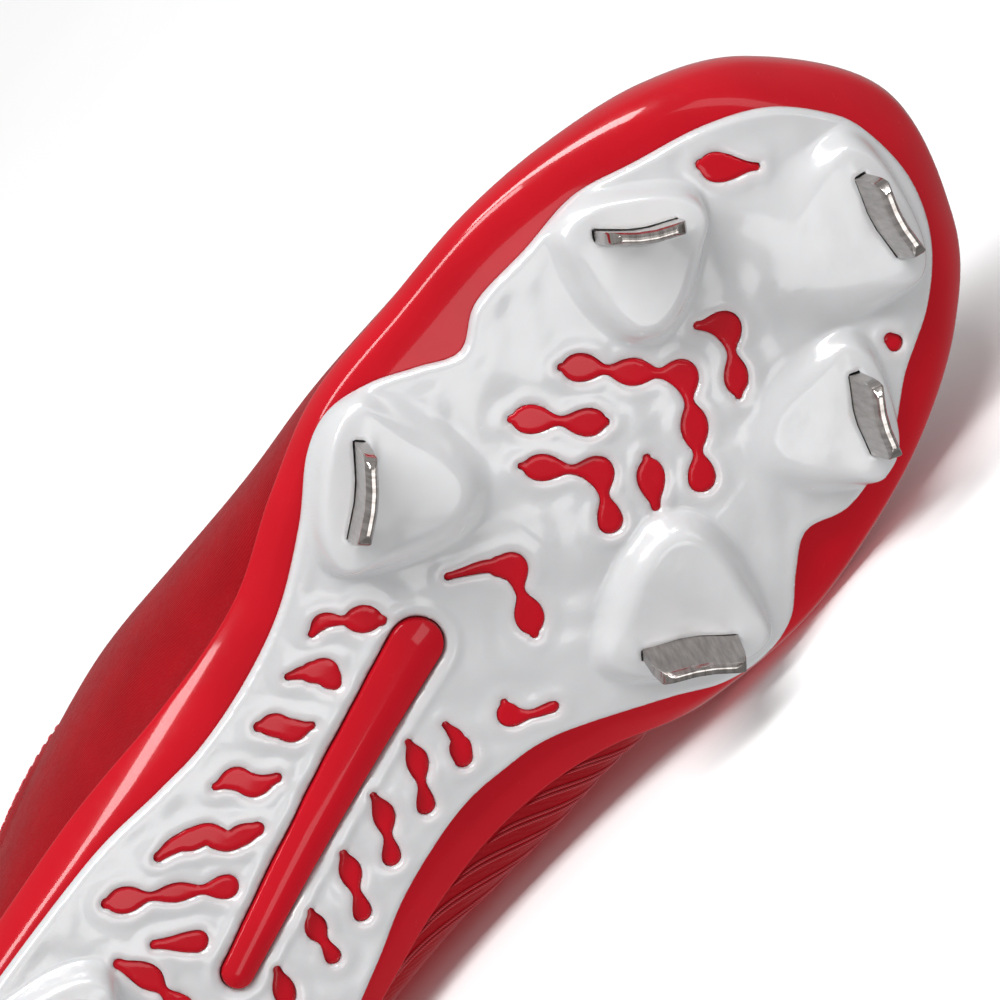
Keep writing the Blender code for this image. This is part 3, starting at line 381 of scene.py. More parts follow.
@dataclass
class Last:
    """The form that the shoe is built on: its underside and the sections of its upper.

    A place on the upper is a ring position, counted in stations round the shoe from the back of
    the heel along the inner side to the toe and back along the outer side, and a share up the
    section there, from the feather edge to the topline.
    """
    curl_power: float = 2.3           # how late the sole's edge curls up
    stay_from: float = 0.6            # share of the way to the eyelets where the eyestay begins
    throat_arch: float = 0.10         # height of the throat's arch as a share of its width
    eyelet_place: float = 0.46        # an eyelet's distance from the edge, as a share of the band
    first_eyelet: float = 0.22        # stations below the throat's top
    last_eyelet: float = 5.05         # stations before the toe

    def __post_init__(self) -> None:
        """Round the shoe: inner side heel to toe, then outer side toe to heel."""
        rows = []
        for turn in range(RING):
            inner = turn <= LAST_STATION
            st = STATIONS[turn] if inner else STATIONS[RING - turn]
            sides = ((st.feather_in, st.belly_in, st.crown_in, st.edge_in) if inner
                     else (st.feather_out, st.belly_out, st.crown_out, st.edge_out))
            rows.append((st.along, st.belly_along, st.crown_along, st.edge_along, *sides,
                         st.belly_up, st.crown_up, st.edge_up, st.instep,
                         INNER_RAND.get(turn, st.rand)))
        self.loop = np.array(rows)
        self.knots = np.array([row.along for row in SOLE_PROFILE]) * S.length
        self.rises = np.array([row.heel * S.heel_rise + row.arch * S.arch_rise
                               + row.spring * S.toe_spring for row in SOLE_PROFILE])

    def underside(self, x: Array, y: Array) -> Array:
        """Height of the plate's underside: cubics through the sole's profile, plus an edge curl.

        Args:
            x: places along the shoe.
            y: places across it.

        Returns:
            Heights over the ground.
        """
        slopes = np.gradient(self.rises, self.knots)
        at = np.clip(np.asarray(x, float), self.knots[0], self.knots[-1])
        right = np.clip(np.searchsorted(self.knots, at), 1, len(self.knots) - 1)
        left = right - 1
        span = self.knots[right] - self.knots[left]
        f = (at - self.knots[left]) / span
        ends = (self.rises[left], self.rises[right])
        rise = hermite(ends, (slopes[left], slopes[right]), span, f)
        curl = S.edge_lift * (np.abs(y) / S.half_ball) ** self.curl_power
        return S.stud_length + S.boss_height + rise + curl

    def sections(self, turn: Array) -> tuple[Array, Array]:
        """Read the sections at ring positions.

        Args:
            turn: ring positions.

        Returns:
            Control points, shape (n, 4, 3), and the rand's share, shape (n,).
        """
        shares = closed_curve(self.loop, turn)
        x = shares[:, 0:4] * S.length
        y = shares[:, 4:8] * S.half_ball
        height = S.heel_height + (S.instep_height - S.heel_height) * shares[:, 11]
        lift = np.column_stack([0 * height, shares[:, 8:11] * height[:, None]])
        z = self.underside(x, 0 * x) + lift
        z[:, 0] = self.underside(x[:, 0], y[:, 0]) + S.feather
        return np.stack([x, y, z], axis=-1), shares[:, 12]

    def surface(self, turn: Array, rise: Array) -> Array:
        """Read the cubic of each section at its shares.

        Args:
            turn: ring positions, shape (n,).
            rise: shares up each section, shape (n, m).

        Returns:
            Points, shape (n, m, 3).
        """
        control, _ = self.sections(turn)
        t = rise[..., None]
        a, b, c, d = (control[:, None, k, :] for k in range(4))
        return a * (1 - t) ** 3 + 3 * b * t * (1 - t) ** 2 + 3 * c * t * t * (1 - t) + d * t ** 3

    def normals(self, turn: Array, rise: Array) -> Array:
        """Unit normals out of the shoe: the upward step crossed with the step round the ring.

        Args:
            turn: ring positions, shape (n,).
            rise: shares up each section, shape (n, m).

        Returns:
            Unit normals, shape (n, m, 3).
        """
        step = 1e-3
        along = self.surface(turn + step, rise) - self.surface(turn - step, rise)
        upward = self.surface(turn, rise + step) - self.surface(turn, rise - step)
        return unit(np.cross(upward, along))

    def ring(self, count: int) -> Array:
        """Ring positions evenly spread along the feather edge and paired across the shoe.

        Args:
            count: how many lie on each half.

        Returns:
            Positions, 2 * count of them.
        """
        fine = np.linspace(0, LAST_STATION, 900)
        inner, _ = self.sections(fine)
        outer, _ = self.sections(RING - fine)
        way = sum(travelled(side[:, :2, :2].mean(axis=1)) for side in (inner, outer))
        half = np.interp(np.linspace(0, way[-1], count + 1), way, fine)
        return np.concatenate([half, RING - half[-2:0:-1]])

    def flat_offset(self, turn: Array, distance: float) -> Array:
        """The feather edge moved level by a distance, outward if positive, as (x, y)."""
        rise = np.zeros((len(turn), 1))
        return (self.surface(turn, rise)[:, 0, :2]
                + distance * unit(self.normals(turn, rise)[:, 0, :2]))

    def lifted(self, flat: Array, lift: float) -> Array:
        """Level points set at a height over the underside."""
        return np.concatenate([flat, (self.underside(flat[..., 0], flat[..., 1])
                                      + lift)[..., None]], axis=-1)

    def floor(self, edge: Array, lift: float, columns: int) -> Array:
        """Rows across the shoe between the two halves of a ring, following the underside.

        Args:
            edge: level points of the ring.
            lift: height over the underside.
            columns: steps across.

        Returns:
            A grid of points.
        """
        half = len(edge) // 2
        inner = edge[:half + 1]
        outer = np.concatenate([edge[:1], edge[:half - 1:-1]])
        share = np.linspace(0, 1, columns + 1)[None, :, None]
        return self.lifted(inner[:, None, :] * (1 - share) + outer[:, None, :] * share, lift)

    def band_start(self, turn: Array) -> Array:
        """Section share at which the raised band round topline and throat begins."""
        control, _ = self.sections(turn)
        pace = 3 * np.linalg.norm(control[:, 3] - control[:, 2], axis=1)
        return 1 - S.eyestay_width / np.maximum(pace, 3 * S.eyestay_width)

    def eyelet_turns(self) -> Array:
        """Ring positions of the eyelets on the inner side, evenly spaced down the throat."""
        fine = np.linspace(THROAT_TOP + self.first_eyelet, LAST_STATION - self.last_eyelet, 200)
        way = travelled(self.surface(fine, np.full((200, 1), 0.92))[:, 0])
        return np.interp(np.linspace(0, way[-1], S.eyelet_pairs), way, fine)

    def eyelet_rise(self, turn: Array) -> Array:
        """Section share of an eyelet: the middle of the eyestay."""
        return 1 - self.eyelet_place * (1 - self.band_start(turn))

    def throat(self, turn: Array, side: Array) -> tuple[Array, Array]:
        """Points and normals over the throat, side 1 and -1 being the inner and outer eyelets.

        Far out the surface is the eyestay; between its two edges it is a low arch.

        Args:
            turn: ring positions on the inner side.
            side: places across the throat.

        Returns:
            Points and unit normals.
        """
        edge = self.stay_from
        side = np.asarray(side, float)
        own = np.where(side >= 0, turn, RING - turn)
        share = 1 - (1 - self.eyelet_rise(own)) * (np.abs(side) - edge) / (1 - edge)
        stay = self.surface(own, share[:, None])[:, 0]
        stay_normal = self.normals(own, share[:, None])[:, 0]
        ones = np.ones((len(side), 1))
        edges = [self.surface(at, ones)[:, 0] for at in (turn, RING - turn)]
        normals = [self.normals(at, ones)[:, 0] for at in (turn, RING - turn)]
        mix = (0.5 - side / (2 * edge))[:, None]
        normal = unit(normals[0] * (1 - mix) + normals[1] * mix)
        width = np.linalg.norm(edges[0] - edges[1], axis=1)
        arch = width * self.throat_arch * (1 - (side / edge) ** 2)
        over = edges[0] * (1 - mix) + edges[1] * mix + normal * (S.band_step + arch)[:, None]
        out = (np.abs(side) > edge)[:, None]
        return (np.where(out, stay + stay_normal * S.band_step, over),
                np.where(out, stay_normal, normal))


LAST = Last()


@dataclass
class Blade:
    """One stud's own frame: foot on its boss, axis to the tip, width direction and length."""
    stud: Stud

    def __post_init__(self) -> None:
        """Work out the frame from the stud's row of the table."""
        stud = self.stud
        x, y = stud.along * S.length, stud.across * S.half_ball
        self.foot = np.array([x, y, float(LAST.underside(x, y)) - S.boss_height])
        axis = np.array([stud.lean_along, stud.lean_across, -1.0])
        self.length = (self.foot[2] - stud.tip_lift * S.toe_spring) * np.linalg.norm(axis)
        self.axis = unit(axis)
        angle = math.radians(stud.inward)
        self.inward = np.array([math.cos(angle), math.sin(angle), 0.0])
        self.width = unit(np.cross(self.axis, self.inward))
        self.deep = unit(np.cross(self.width, self.axis))

    def tip(self) -> Array:
        """Middle of the blade's flat end, as the record states it."""
        return self.foot + self.axis * self.length + self.deep * (S.blade_bow / 2)

    def bend(self, across: Array) -> Array:
        """Shift by which the blade is bent in plan: a flat middle and two straight outer facets."""
        share = np.abs(across) / (S.blade_width * self.stud.width / 2)
        return S.blade_bow * (0.5 - np.clip((share - 0.2) / 0.8, 0, 1))


BLADES = tuple(Blade(stud) for stud in STUDS)


class Resting:
    """The rigid turn and shift that lay the standing shoe on its side."""

    def __init__(self, mounts: Sequence[dict]) -> None:
        """Fit the turn to the stud tips of the record: least squares over tips and axis ends.

        Args:
            mounts: the record's mounts, each a stud's tip with its axis.
        """
        reach = 0.1
        theirs, ours = [], []
        for mount in mounts:
            blade = next(b for b in BLADES if b.stud.name.endswith(mount["name"][4:]))
            spot, axis = np.array(mount["pos_m"]), np.array(mount["axis"])
            theirs += [spot, spot + axis * reach]
            ours += [blade.tip(), blade.tip() + blade.axis * reach]
        theirs, ours = np.array(theirs), np.array(ours)
        u, _, v = np.linalg.svd((ours - ours.mean(0)).T @ (theirs - theirs.mean(0)))
        flip = np.diag([1, 1, np.sign(np.linalg.det(v.T @ u.T))])
        self.turn = v.T @ flip @ u.T
        self.shift = theirs.mean(0) - self.turn @ ours.mean(0)
        miss = np.abs(ours @ self.turn.T + self.shift - theirs).max()
        log.info("resting turn fits the record's stud tips to %.3f mm", miss / MM)

    def place(self, points: Array) -> Array:
        """Shoe points in the row frame."""
        return points @ self.turn.T + self.shift

    def direct(self, vector: Array) -> Array:
        """A shoe direction in the row frame."""
        return self.turn @ vector


RESTING = Resting(frame["record"]["mounts"])


@dataclass
class Shell:
    """Gathers grids of points into one mesh, with a material number and surface lengths."""
    points: list = field(default_factory=list)
    faces: list = field(default_factory=list)
    kinds: list = field(default_factory=list)
    spans: list = field(default_factory=list)
    marks: list = field(default_factory=list)
    total: int = 0

    def grid(self, grid: Array, wrap: bool = False, kind: int = 0,
             span: Optional[Array] = None, mark: Optional[Array] = None) -> None:
        """Add a grid of points as quads.

        Args:
            grid: points, shape (n, m, 3).
            wrap: join the last row to the first.
            kind: material number of its faces.
            span: lengths over the surface in metres, shape (n, m, 2), for the UV map.
            mark: a number from 0 to 1 at each point, shape (n, m), for the finish.
        """
        n, m = grid.shape[:2]
        index = np.arange(n * m).reshape(n, m) + self.total
        ahead = np.roll(index, -1, axis=0) if wrap else index[1:]
        near = index if wrap else index[:-1]
        quads = np.stack([near[:, :-1], near[:, 1:], ahead[:, 1:], ahead[:, :-1]], axis=-1)
        self.points.append(grid.reshape(-1, 3))
        self.faces.append(quads.reshape(-1, 4))
        self.kinds.append(np.full((quads.shape[0] * quads.shape[1],), kind))
        if span is None:
            span = np.stack([travelled_grid(grid, 0), travelled_grid(grid, 1)], axis=-1)
        self.spans.append(span.reshape(-1, 2))
        self.marks.append((np.zeros((n, m)) if mark is None else mark).reshape(-1))
        self.total += n * m

    def polygons(self, points: Array, faces: Array, kind: int = 0,
                 mark: Optional[Array] = None) -> None:
        """Add faces of four corners, or of three with the last corner given twice.

        Args:
            points: their points.
            faces: corner numbers, shape (n, 4).
            kind: material number.
            mark: a number from 0 to 1 at each point.
        """
        self.points.append(points)
        self.faces.append(faces + self.total)
        self.kinds.append(np.full(len(faces), kind))
        self.spans.append(points[:, :2])
        self.marks.append(np.zeros(len(points)) if mark is None else mark)
        self.total += len(points)

    def make(self, name: str, finishes: Sequence[Material], weld: float = 2e-6,
             sharp: float = 60.0) -> Piece:
        """Lay the mesh on its side, weld its seams and put it into the scene.

        Args:
            name: the piece's name.
            finishes: its materials, in the order of the material numbers.
            weld: distance within which points become one.
            sharp: edges that turn more than this many degrees stay crisp.

        Returns:
            The piece, at the origin, with its place in its mesh.
        """
        points = RESTING.place(np.concatenate(self.points))
        faces = np.concatenate(self.faces)
        mesh = bpy.data.meshes.new(name)
        mesh.vertices.add(len(points))
        mesh.vertices.foreach_set("co", points.astype(np.float32).ravel())
        triangle = faces[:, 2] == faces[:, 3]
        sizes = np.where(triangle, 3, 4)
        corners = faces[np.arange(4)[None, :] < sizes[:, None]]
        mesh.loops.add(len(corners))
        mesh.loops.foreach_set("vertex_index", corners.astype(np.int32))
        mesh.polygons.add(len(faces))
        starts = np.concatenate([[0], np.cumsum(sizes)[:-1]])
        mesh.polygons.foreach_set("loop_start", starts.astype(np.int32))
        mesh.polygons.foreach_set("material_index", np.concatenate(self.kinds).astype(np.int32))
        mesh.update(calc_edges=True)
        spans = np.concatenate(self.spans)
        layer = mesh.uv_layers.new(name="span")
        layer.data.foreach_set("uv", spans[corners].astype(np.float32).ravel())
        mark = mesh.attributes.new("mark", "FLOAT", "POINT")
        mark.data.foreach_set("value", np.concatenate(self.marks).astype(np.float32))
        work = bmesh.new()
        work.from_mesh(mesh)
        bmesh.ops.remove_doubles(work, verts=work.verts, dist=weld)
        bmesh.ops.dissolve_degenerate(work, edges=work.edges, dist=1e-7)
        bmesh.ops.recalc_face_normals(work, faces=work.faces)
        work.to_mesh(mesh)
        work.free()
        mesh.shade_smooth()
        mesh.set_sharp_from_angle(angle=math.radians(sharp))
        for finish in finishes:
            mesh.materials.append(finish)
        piece = bpy.data.objects.new(name, mesh)
        bpy.context.scene.collection.objects.link(piece)
        return piece


def travelled_grid(grid: Array, axis: int) -> Array:
    """Length over a grid along one of its axes, from its first row or column."""
    steps = np.linalg.norm(np.diff(grid, axis=axis), axis=-1)
    start = np.zeros_like(np.take(steps, [0], axis=axis))
    return np.concatenate([start, np.cumsum(steps, axis=axis)], axis=axis)


def attach(piece: Piece, slot: str, *nodes: str) -> Piece:
    """Let a piece ride on the shoe, hide the solids that it stands for and log its triangles.

    Args:
        piece: the piece.
        slot: not used.
        nodes: the solids.

    Returns:
        The piece.
    """
    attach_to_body(piece, "root")
    if nodes:
        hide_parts(*nodes)
    triangles = sum(len(face.vertices) - 2 for face in piece.data.polygons)
    log.info("%s: %d triangles", piece.name, triangles)
    return piece


class Sheet(NamedTuple):
    """A level grid trimmed to where a field is positive, its border moved onto the zero line."""
    points: Array
    moved: Array       # which points lie on the zero line
    faces: Array       # four corners, the last given twice on a triangle
    rim: Array         # border edges, each in its face's direction


def trim_grid(points: Array, shape: tuple[int, int], inside: Array, step: float) -> Sheet:
    """Trim a level grid: points within half a step of the zero line slide onto it down the slope.

    Args:
        points: level points, shape (n, 2).
        shape: rows and columns of the grid.
        inside: the field at each point, positive where the sheet is kept.
        step: spacing of the grid.

    Returns:
        The trimmed sheet.
    """
    slope = np.stack(np.gradient(inside.reshape(shape), step), axis=-1).reshape(-1, 2)
    steep = (slope ** 2).sum(1)
    moved = (np.abs(inside) < 0.5 * step) & (steep > 0.2)
    points = points.copy()
    points[moved] -= (inside / np.maximum(steep, 0.2))[moved, None] * slope[moved]
    state = np.where(moved, 0, np.where(inside > 0, 1, -1))
    index = np.arange(len(points)).reshape(shape)
    cells = np.stack([index[:-1, :-1], index[1:, :-1], index[1:, 1:], index[:-1, 1:]], -1)
    cells = cells.reshape(-1, 4)
    kinds = state[cells]
    out = (kinds < 0).sum(1)
    quads = cells[(out == 0) & ((kinds > 0).any(1) | (inside[cells].mean(1) > 0))]
    corner = np.flatnonzero(out == 1)
    missing = (kinds[corner] < 0).argmax(1)
    three = np.stack([cells[corner, (missing + k) % 4] for k in (1, 2, 3)], axis=1)
    three = three[inside[three].mean(1) > 0]
    faces = np.concatenate([quads, np.column_stack([three, three[:, 2]])])
    edges = np.concatenate([faces[:, [0, 1]], faces[:, [1, 2]],
                            quads[:, [2, 3]], quads[:, [3, 0]], three[:, [2, 0]]])
    code = edges[:, 0].astype(np.int64) * len(points) + edges[:, 1]
    back = edges[:, 1].astype(np.int64) * len(points) + edges[:, 0]
    return Sheet(points, moved, faces, edges[~np.isin(code, back)])


@dataclass
class Plate:
    """The white moulded stud plate: a sheet with bosses, lipped windows and blade slots."""
    step: float = 0.5 * MM            # spacing of its grid
    cap_step: float = 7 * MM          # spacing of the points inside its hidden top
    batch: int = 8000                 # points whose distances are worked out at a time
    edge_round: float = 1.3 * MM      # over what width its outer edge rolls away
    edge_drop: float = 1.1 * MM       # and how far
    window_round: float = 0.6 * MM
    window_drop: float = 0.35 * MM
    rib_round: float = 0.7 * MM
    rib_drop: float = 0.5 * MM
    slot_round: float = 0.35 * MM
    slot_drop: float = 0.25 * MM
    slot_gap: float = 0.12 * MM       # the plastic is moulded close round each blade
    slot_corner: float = 0.5 * MM
    lip: float = 0.15 * MM            # raised lip round each window
    rib_lip: float = 0.5 * MM         # raised lip round the arch rib
    wave: float = 0.20 * MM           # soft unevenness of the moulding
    boss_top_round: float = 2.9 * MM
    shoulder_round: float = 3.9 * MM
    boss_foot_round: float = 2.2 * MM
    boss_power: float = 2.6           # squareness of a boss's outline

    def __post_init__(self) -> None:
        """Lay out the outline and the chains once."""
        fine = closed_curve(PLATE_OUTLINE, np.linspace(0, len(PLATE_OUTLINE), 1600))
        self.outline = respace(fine * (S.length, S.half_ball), 460)
        self.chains = [self.chain(beads) for beads in WINDOWS]

    @staticmethod
    def chain(beads: Sequence[Bead]) -> tuple[Array, Array]:
        """Centres and radii of the circles whose union is a window: wide at beads, thin between.

        Args:
            beads: the beads of one window, in order.

        Returns:
            Centres, shape (n, 2), and radii.
        """
        centres, radii = [], []
        for k, bead in enumerate(beads):
            here = np.array([bead.along * S.length, bead.across * S.half_ball])
            if k and min(bead.size, beads[k - 1].size) > 0.45:
                close = np.linalg.norm(here - centres[-1]) < 2.4 * S.bead_radius
                centres.append((here + centres[-1]) / 2)
                radii.append(0.8 * S.bead_radius if close else S.neck_radius)
            centres.append(here)
            radii.append(bead.size * S.bead_radius)
        centres, radii = np.array(centres), np.array(radii)
        way = travelled(centres)
        at = np.linspace(0, way[-1], max(12, int(way[-1] / (0.2 * MM))))
        left = np.clip(np.searchsorted(way, at, side="right") - 1, 0, len(way) - 2)
        f = (at - way[left]) / (way[left + 1] - way[left])
        slopes = np.gradient(centres, way, axis=0)
        span = (way[left + 1] - way[left])[:, None]
        path = hermite((centres[left], centres[left + 1]), (slopes[left], slopes[left + 1]), span,
                       f[:, None])
        ease = f * f * (3 - 2 * f)
        return path, radii[left] * (1 - ease) + radii[left + 1] * ease

    def outline_distance(self, points: Array) -> Array:
        """Distance in from the plate's outline, negative outside: nearest segment, signed.

        Args:
            points: level points.

        Returns:
            One distance for each point.
        """
        start, end = self.outline[:-1], self.outline[1:]
        along = end - start
        square = (along ** 2).sum(1)
        best = np.empty(len(points))
        for low in range(0, len(points), self.batch):
            part = points[low:low + self.batch, None, :] - start
            share = np.clip((part * along).sum(2) / square, 0, 1)
            gap = part - share[..., None] * along
            far = (gap ** 2).sum(2)
            near = far.argmin(1)
            rows = np.arange(len(near))
            side = np.sign(along[near, 1] * gap[rows, near, 0]
                           - along[near, 0] * gap[rows, near, 1])
            best[low:low + self.batch] = side * np.sqrt(far[rows, near])
        middle = ((points - self.outline.mean(0)) ** 2).sum(1).argmin()
        return best * np.sign(best[middle])

    def window_distance(self, points: Array) -> Array:
        """Distance to the nearest window's edge, negative inside a window.

        Args:
            points: level points.

        Returns:
            One distance for each point.
        """
        best = np.full(len(points), 20 * MM)
        for path, radii in self.chains:
            low, high = path.min(0) - 7 * MM, path.max(0) + 7 * MM
            near = np.flatnonzero(np.all((points > low) & (points < high), axis=1))
            gap = np.linalg.norm(points[near, None] - path, axis=2) - radii
            best[near] = np.minimum(best[near], gap.min(1))
        return best

    @staticmethod
    def rib_distance(points: Array) -> Array:
        """Distance to the arch rib's window: a capsule whose radius runs from front to back.

        Args:
            points: level points.

        Returns:
            One distance for each point.
        """
        front, back = RIB_ENDS
        share = line_share(points, front, back)
        radius = S.rib_front + (S.rib_back - S.rib_front) * share + S.clearance
        return np.linalg.norm(points - front - share[:, None] * (back - front), axis=1) - radius

    def slot_distance(self, points: Array) -> tuple[Array, Array]:
        """Distance to the nearest blade slot's rounded rectangle, and that blade's number.

        Args:
            points: level points.

        Returns:
            Distances and blade numbers.
        """
        every = []
        for blade in BLADES:
            local = points - blade.foot[:2]
            u = local @ unit(blade.width[:2])
            v = local @ unit(blade.deep[:2])
            v = v - blade.bend(u)
            corner = self.slot_corner
            half_u = S.blade_width * blade.stud.width / 2 + self.slot_gap
            half_v = S.blade_thickness / 2 + self.slot_gap
            du, dv = np.abs(u) - half_u + corner, np.abs(v) - half_v + corner
            every.append(np.hypot(np.maximum(du, 0), np.maximum(dv, 0))
                         + np.minimum(np.maximum(du, dv), 0) - corner)
        every = np.array(every)
        return every.min(0), every.argmin(0)

    def boss_depth(self, points: Array) -> Array:
        """How far bosses stand out: ramps from each pad's outline to its drop-shaped foot.

        Args:
            points: level points.

        Returns:
            One depth for each point.
        """
        depth = np.zeros(len(points))
        turn = np.linspace(-math.pi, math.pi, 361)
        c, s = np.cos(turn), np.sin(turn)
        for blade in BLADES:
            inward = blade.inward[:2]
            sideways = np.array([-inward[1], inward[0]])
            local = points - blade.foot[:2]
            near = np.flatnonzero(np.linalg.norm(local, axis=1) < blade.stud.reach + 6 * MM)
            a, b = local[near] @ inward, local[near] @ sideways
            square = (np.abs(c) ** self.boss_power + np.abs(s) ** self.boss_power) ** (
                1 / self.boss_power)
            base_a = np.where(c > 0, blade.stud.reach, S.boss_back) * c / square
            base_b = (S.boss_half_width * blade.stud.width * s / square
                      * (1 - blade.stud.taper * np.maximum(c, 0) ** 1.2))
            pad_a = S.pad_half_depth * c
            pad_b = S.pad_half_width * blade.stud.width * s
            angle, far = np.arctan2(b, a), np.hypot(a, b)
            base_angle = np.arctan2(base_b, base_a)
            pad_angle = np.arctan2(pad_b, pad_a)
            base = np.interp(angle, base_angle, np.hypot(base_a, base_b))
            pad = np.interp(angle, pad_angle, np.hypot(pad_a, pad_b))
            share = (far - pad) / np.maximum(base - pad, 1e-5)
            x, y = points[near, 0], points[near, 1]
            plane = blade.foot[2] - ((x - blade.foot[0]) * blade.axis[0]
                                     + (y - blade.foot[1]) * blade.axis[1]) / blade.axis[2]
            full = LAST.underside(x, y) - plane
            ahead = np.maximum(np.cos(np.interp(angle, base_angle, turn)), 0)
            out = S.shoulder_out + (S.shoulder_out_inward - S.shoulder_out) * ahead
            rise = S.shoulder_rise + (S.shoulder_rise_inward - S.shoulder_rise) * ahead
            ramp = smooth_min(full * (1 - share * (1 - rise) / out), full, self.boss_top_round)
            form = smooth_min(ramp, full * rise * (1 - share) / (1 - out), self.shoulder_round)
            depth[near] = smooth_max(depth[near], form, self.boss_foot_round)
        return depth

    @staticmethod
    def roll(distance: Array, reach: float, drop: float) -> Array:
        """Quarter-ellipse by which a rim falls away over its last reach of surface."""
        f = np.clip(1 - distance / reach, 0, 1)
        return drop * (1 - np.sqrt(1 - f * f))

    def relief(self, points: Array, edge: Array, window: Array, rib: Array, slot: Array) -> Array:
        """How far the plate stands out of its plain sheet at level points.

        Args:
            points: level points.
            edge: distance in from the outline.
            window: distance to a window.
            rib: distance to the rib's window.
            slot: distance to a slot.

        Returns:
            One depth for each point.
        """
        boss = self.boss_depth(points)
        calm = 1 - smoothstep(0, 2 * MM, boss)
        x, y = points[:, 0] / MM, points[:, 1] / MM
        wave = (np.sin(x / 2.3 + 1.4 * np.sin(y / 5.1)) * np.sin(y / 2.9 + 1.1 * np.sin(x / 4.3))
                + 0.7 * np.sin(x / 4.9 - y / 3.7 + 2) + 0.5 * np.sin(x / 7.5 + y / 6.1))
        inside = smoothstep(1 * MM, 5 * MM, edge) * smoothstep(0.5 * MM, 3 * MM, slot)
        lips = (self.lip * np.exp(-((window - 1.5 * MM) / (1.1 * MM)) ** 2)
                - 0.5 * self.lip * np.exp(-((window - 4.0 * MM) / (1.6 * MM)) ** 2)) * calm
        rim = (self.rib_lip * np.exp(-((rib - 2.0 * MM) / (1.1 * MM)) ** 2)
               * smoothstep(0, MM, window))
        sharp = (self.roll(edge, self.edge_round, self.edge_drop)
                 + self.roll(window, self.window_round, self.window_drop)
                 + self.roll(rib, self.rib_round, self.rib_drop)
                 + self.roll(slot, self.slot_round, self.slot_drop))
        return boss + self.wave * wave * inside * (0.35 + 0.65 * calm) + lips + rim - sharp

    def build(self, finish: Material) -> Piece:
        """Make the plate on a level grid whose points near a rim are moved onto it.

        Cells outside the rims are left out, walls drop from every rim, slots get a floor, and the
        hidden top is a triangulation of the same rims.

        Args:
            finish: its material.

        Returns:
            The plate.
        """
        xs = np.arange(0.004, S.length, self.step)
        ys = np.arange(-0.0515, 0.0516, self.step)
        shape = (len(xs), len(ys))
        flat = np.stack(np.meshgrid(xs, ys, indexing="ij"), axis=-1).reshape(-1, 2)
        fields = {"edge": self.outline_distance(flat), "window": self.window_distance(flat),
                  "rib": self.rib_distance(flat)}
        fields["slot"], number = self.slot_distance(flat)
        every = np.stack(list(fields.values()))
        nearest = every.argmin(0)
        inside = every.min(0)
        flat, snap, faces, rim = trim_grid(flat, shape, inside, self.step)
        for k, name in enumerate(fields):
            fields[name] = np.where(snap & (nearest == k), 0.0, np.maximum(fields[name], 0))
        z = LAST.underside(flat[:, 0], flat[:, 1]) - self.relief(flat, **fields)
        points = np.column_stack([flat, z])
        in_slot = (nearest[rim] == 3).any(1) & (fields["slot"][rim].min(1) < MM)

        top = points.copy()
        top[:, 2] = LAST.underside(flat[:, 0], flat[:, 1]) + S.plate
        sunk = S.slot_depth - 0.2 * MM
        shelf = points - np.array([blade.axis for blade in BLADES])[number] * sunk
        shell = Shell()
        used, renumber = compact(len(flat), faces)
        # mask of the painted pink bounce light of the red pads, strongest at the window rims
        mark = np.exp(-(fields["window"] / (1.2 * MM)) ** 2)
        shell.polygons(points[used], renumber[faces], mark=mark[used])
        for chosen, low in ((rim[~in_slot], top), (rim[in_slot], shelf)):
            count = len(chosen)
            corners = np.concatenate([points[chosen[:, 0]], points[chosen[:, 1]],
                                      low[chosen[:, 1]], low[chosen[:, 0]]])
            order = np.arange(count)
            shell.polygons(corners, np.column_stack([order + k * count for k in (1, 0, 3, 2)]))
        floors = rim[in_slot]
        centres = np.array([blade.foot - blade.axis * sunk for blade in BLADES])
        count = len(floors)
        fan = np.concatenate([shelf[floors[:, 0]], shelf[floors[:, 1]],
                              centres[number[floors[:, 0]]]])
        order = np.arange(count)
        shell.polygons(fan, np.column_stack([order, order + count, order + 2 * count,
                                             order + 2 * count]))
        self.cap(shell, rim[~in_slot], flat)
        return shell.make("moulded_stud_plate", [finish], weld=1e-6, sharp=50)

    def cap(self, shell: Shell, rim: Array, flat: Array) -> None:
        """Close the plate's hidden top with triangles between its rims.

        Args:
            shell: what the faces are added to.
            rim: edges of the rims.
            flat: level points that they number.
        """
        used, renumber = compact(len(flat), rim)
        coarse = np.stack(np.meshgrid(np.arange(0.01, S.length, self.cap_step),
                                      np.arange(-0.049, 0.05, self.cap_step), indexing="ij"), -1)
        coarse = coarse.reshape(-1, 2)
        clear = np.minimum(self.outline_distance(coarse), self.window_distance(coarse))
        coarse = coarse[np.minimum(clear, self.rib_distance(coarse)) > 1.5 * MM]
        spots = np.concatenate([flat[used], coarse])
        verts, _, triangles, _, _, _ = delaunay_2d_cdt(
            [Vector(spot) for spot in spots], renumber[rim].tolist(), [], 0, 1e-9, True)
        verts = np.array([tuple(v) for v in verts])
        triangles = np.array([t for t in triangles if len(t) == 3])
        middle = verts[triangles].mean(1)
        solid = np.minimum(self.outline_distance(middle), self.window_distance(middle))
        triangles = triangles[np.minimum(solid, self.rib_distance(middle)) > 0]
        shell.polygons(LAST.lifted(verts, S.plate), np.column_stack([triangles, triangles[:, 2]]))


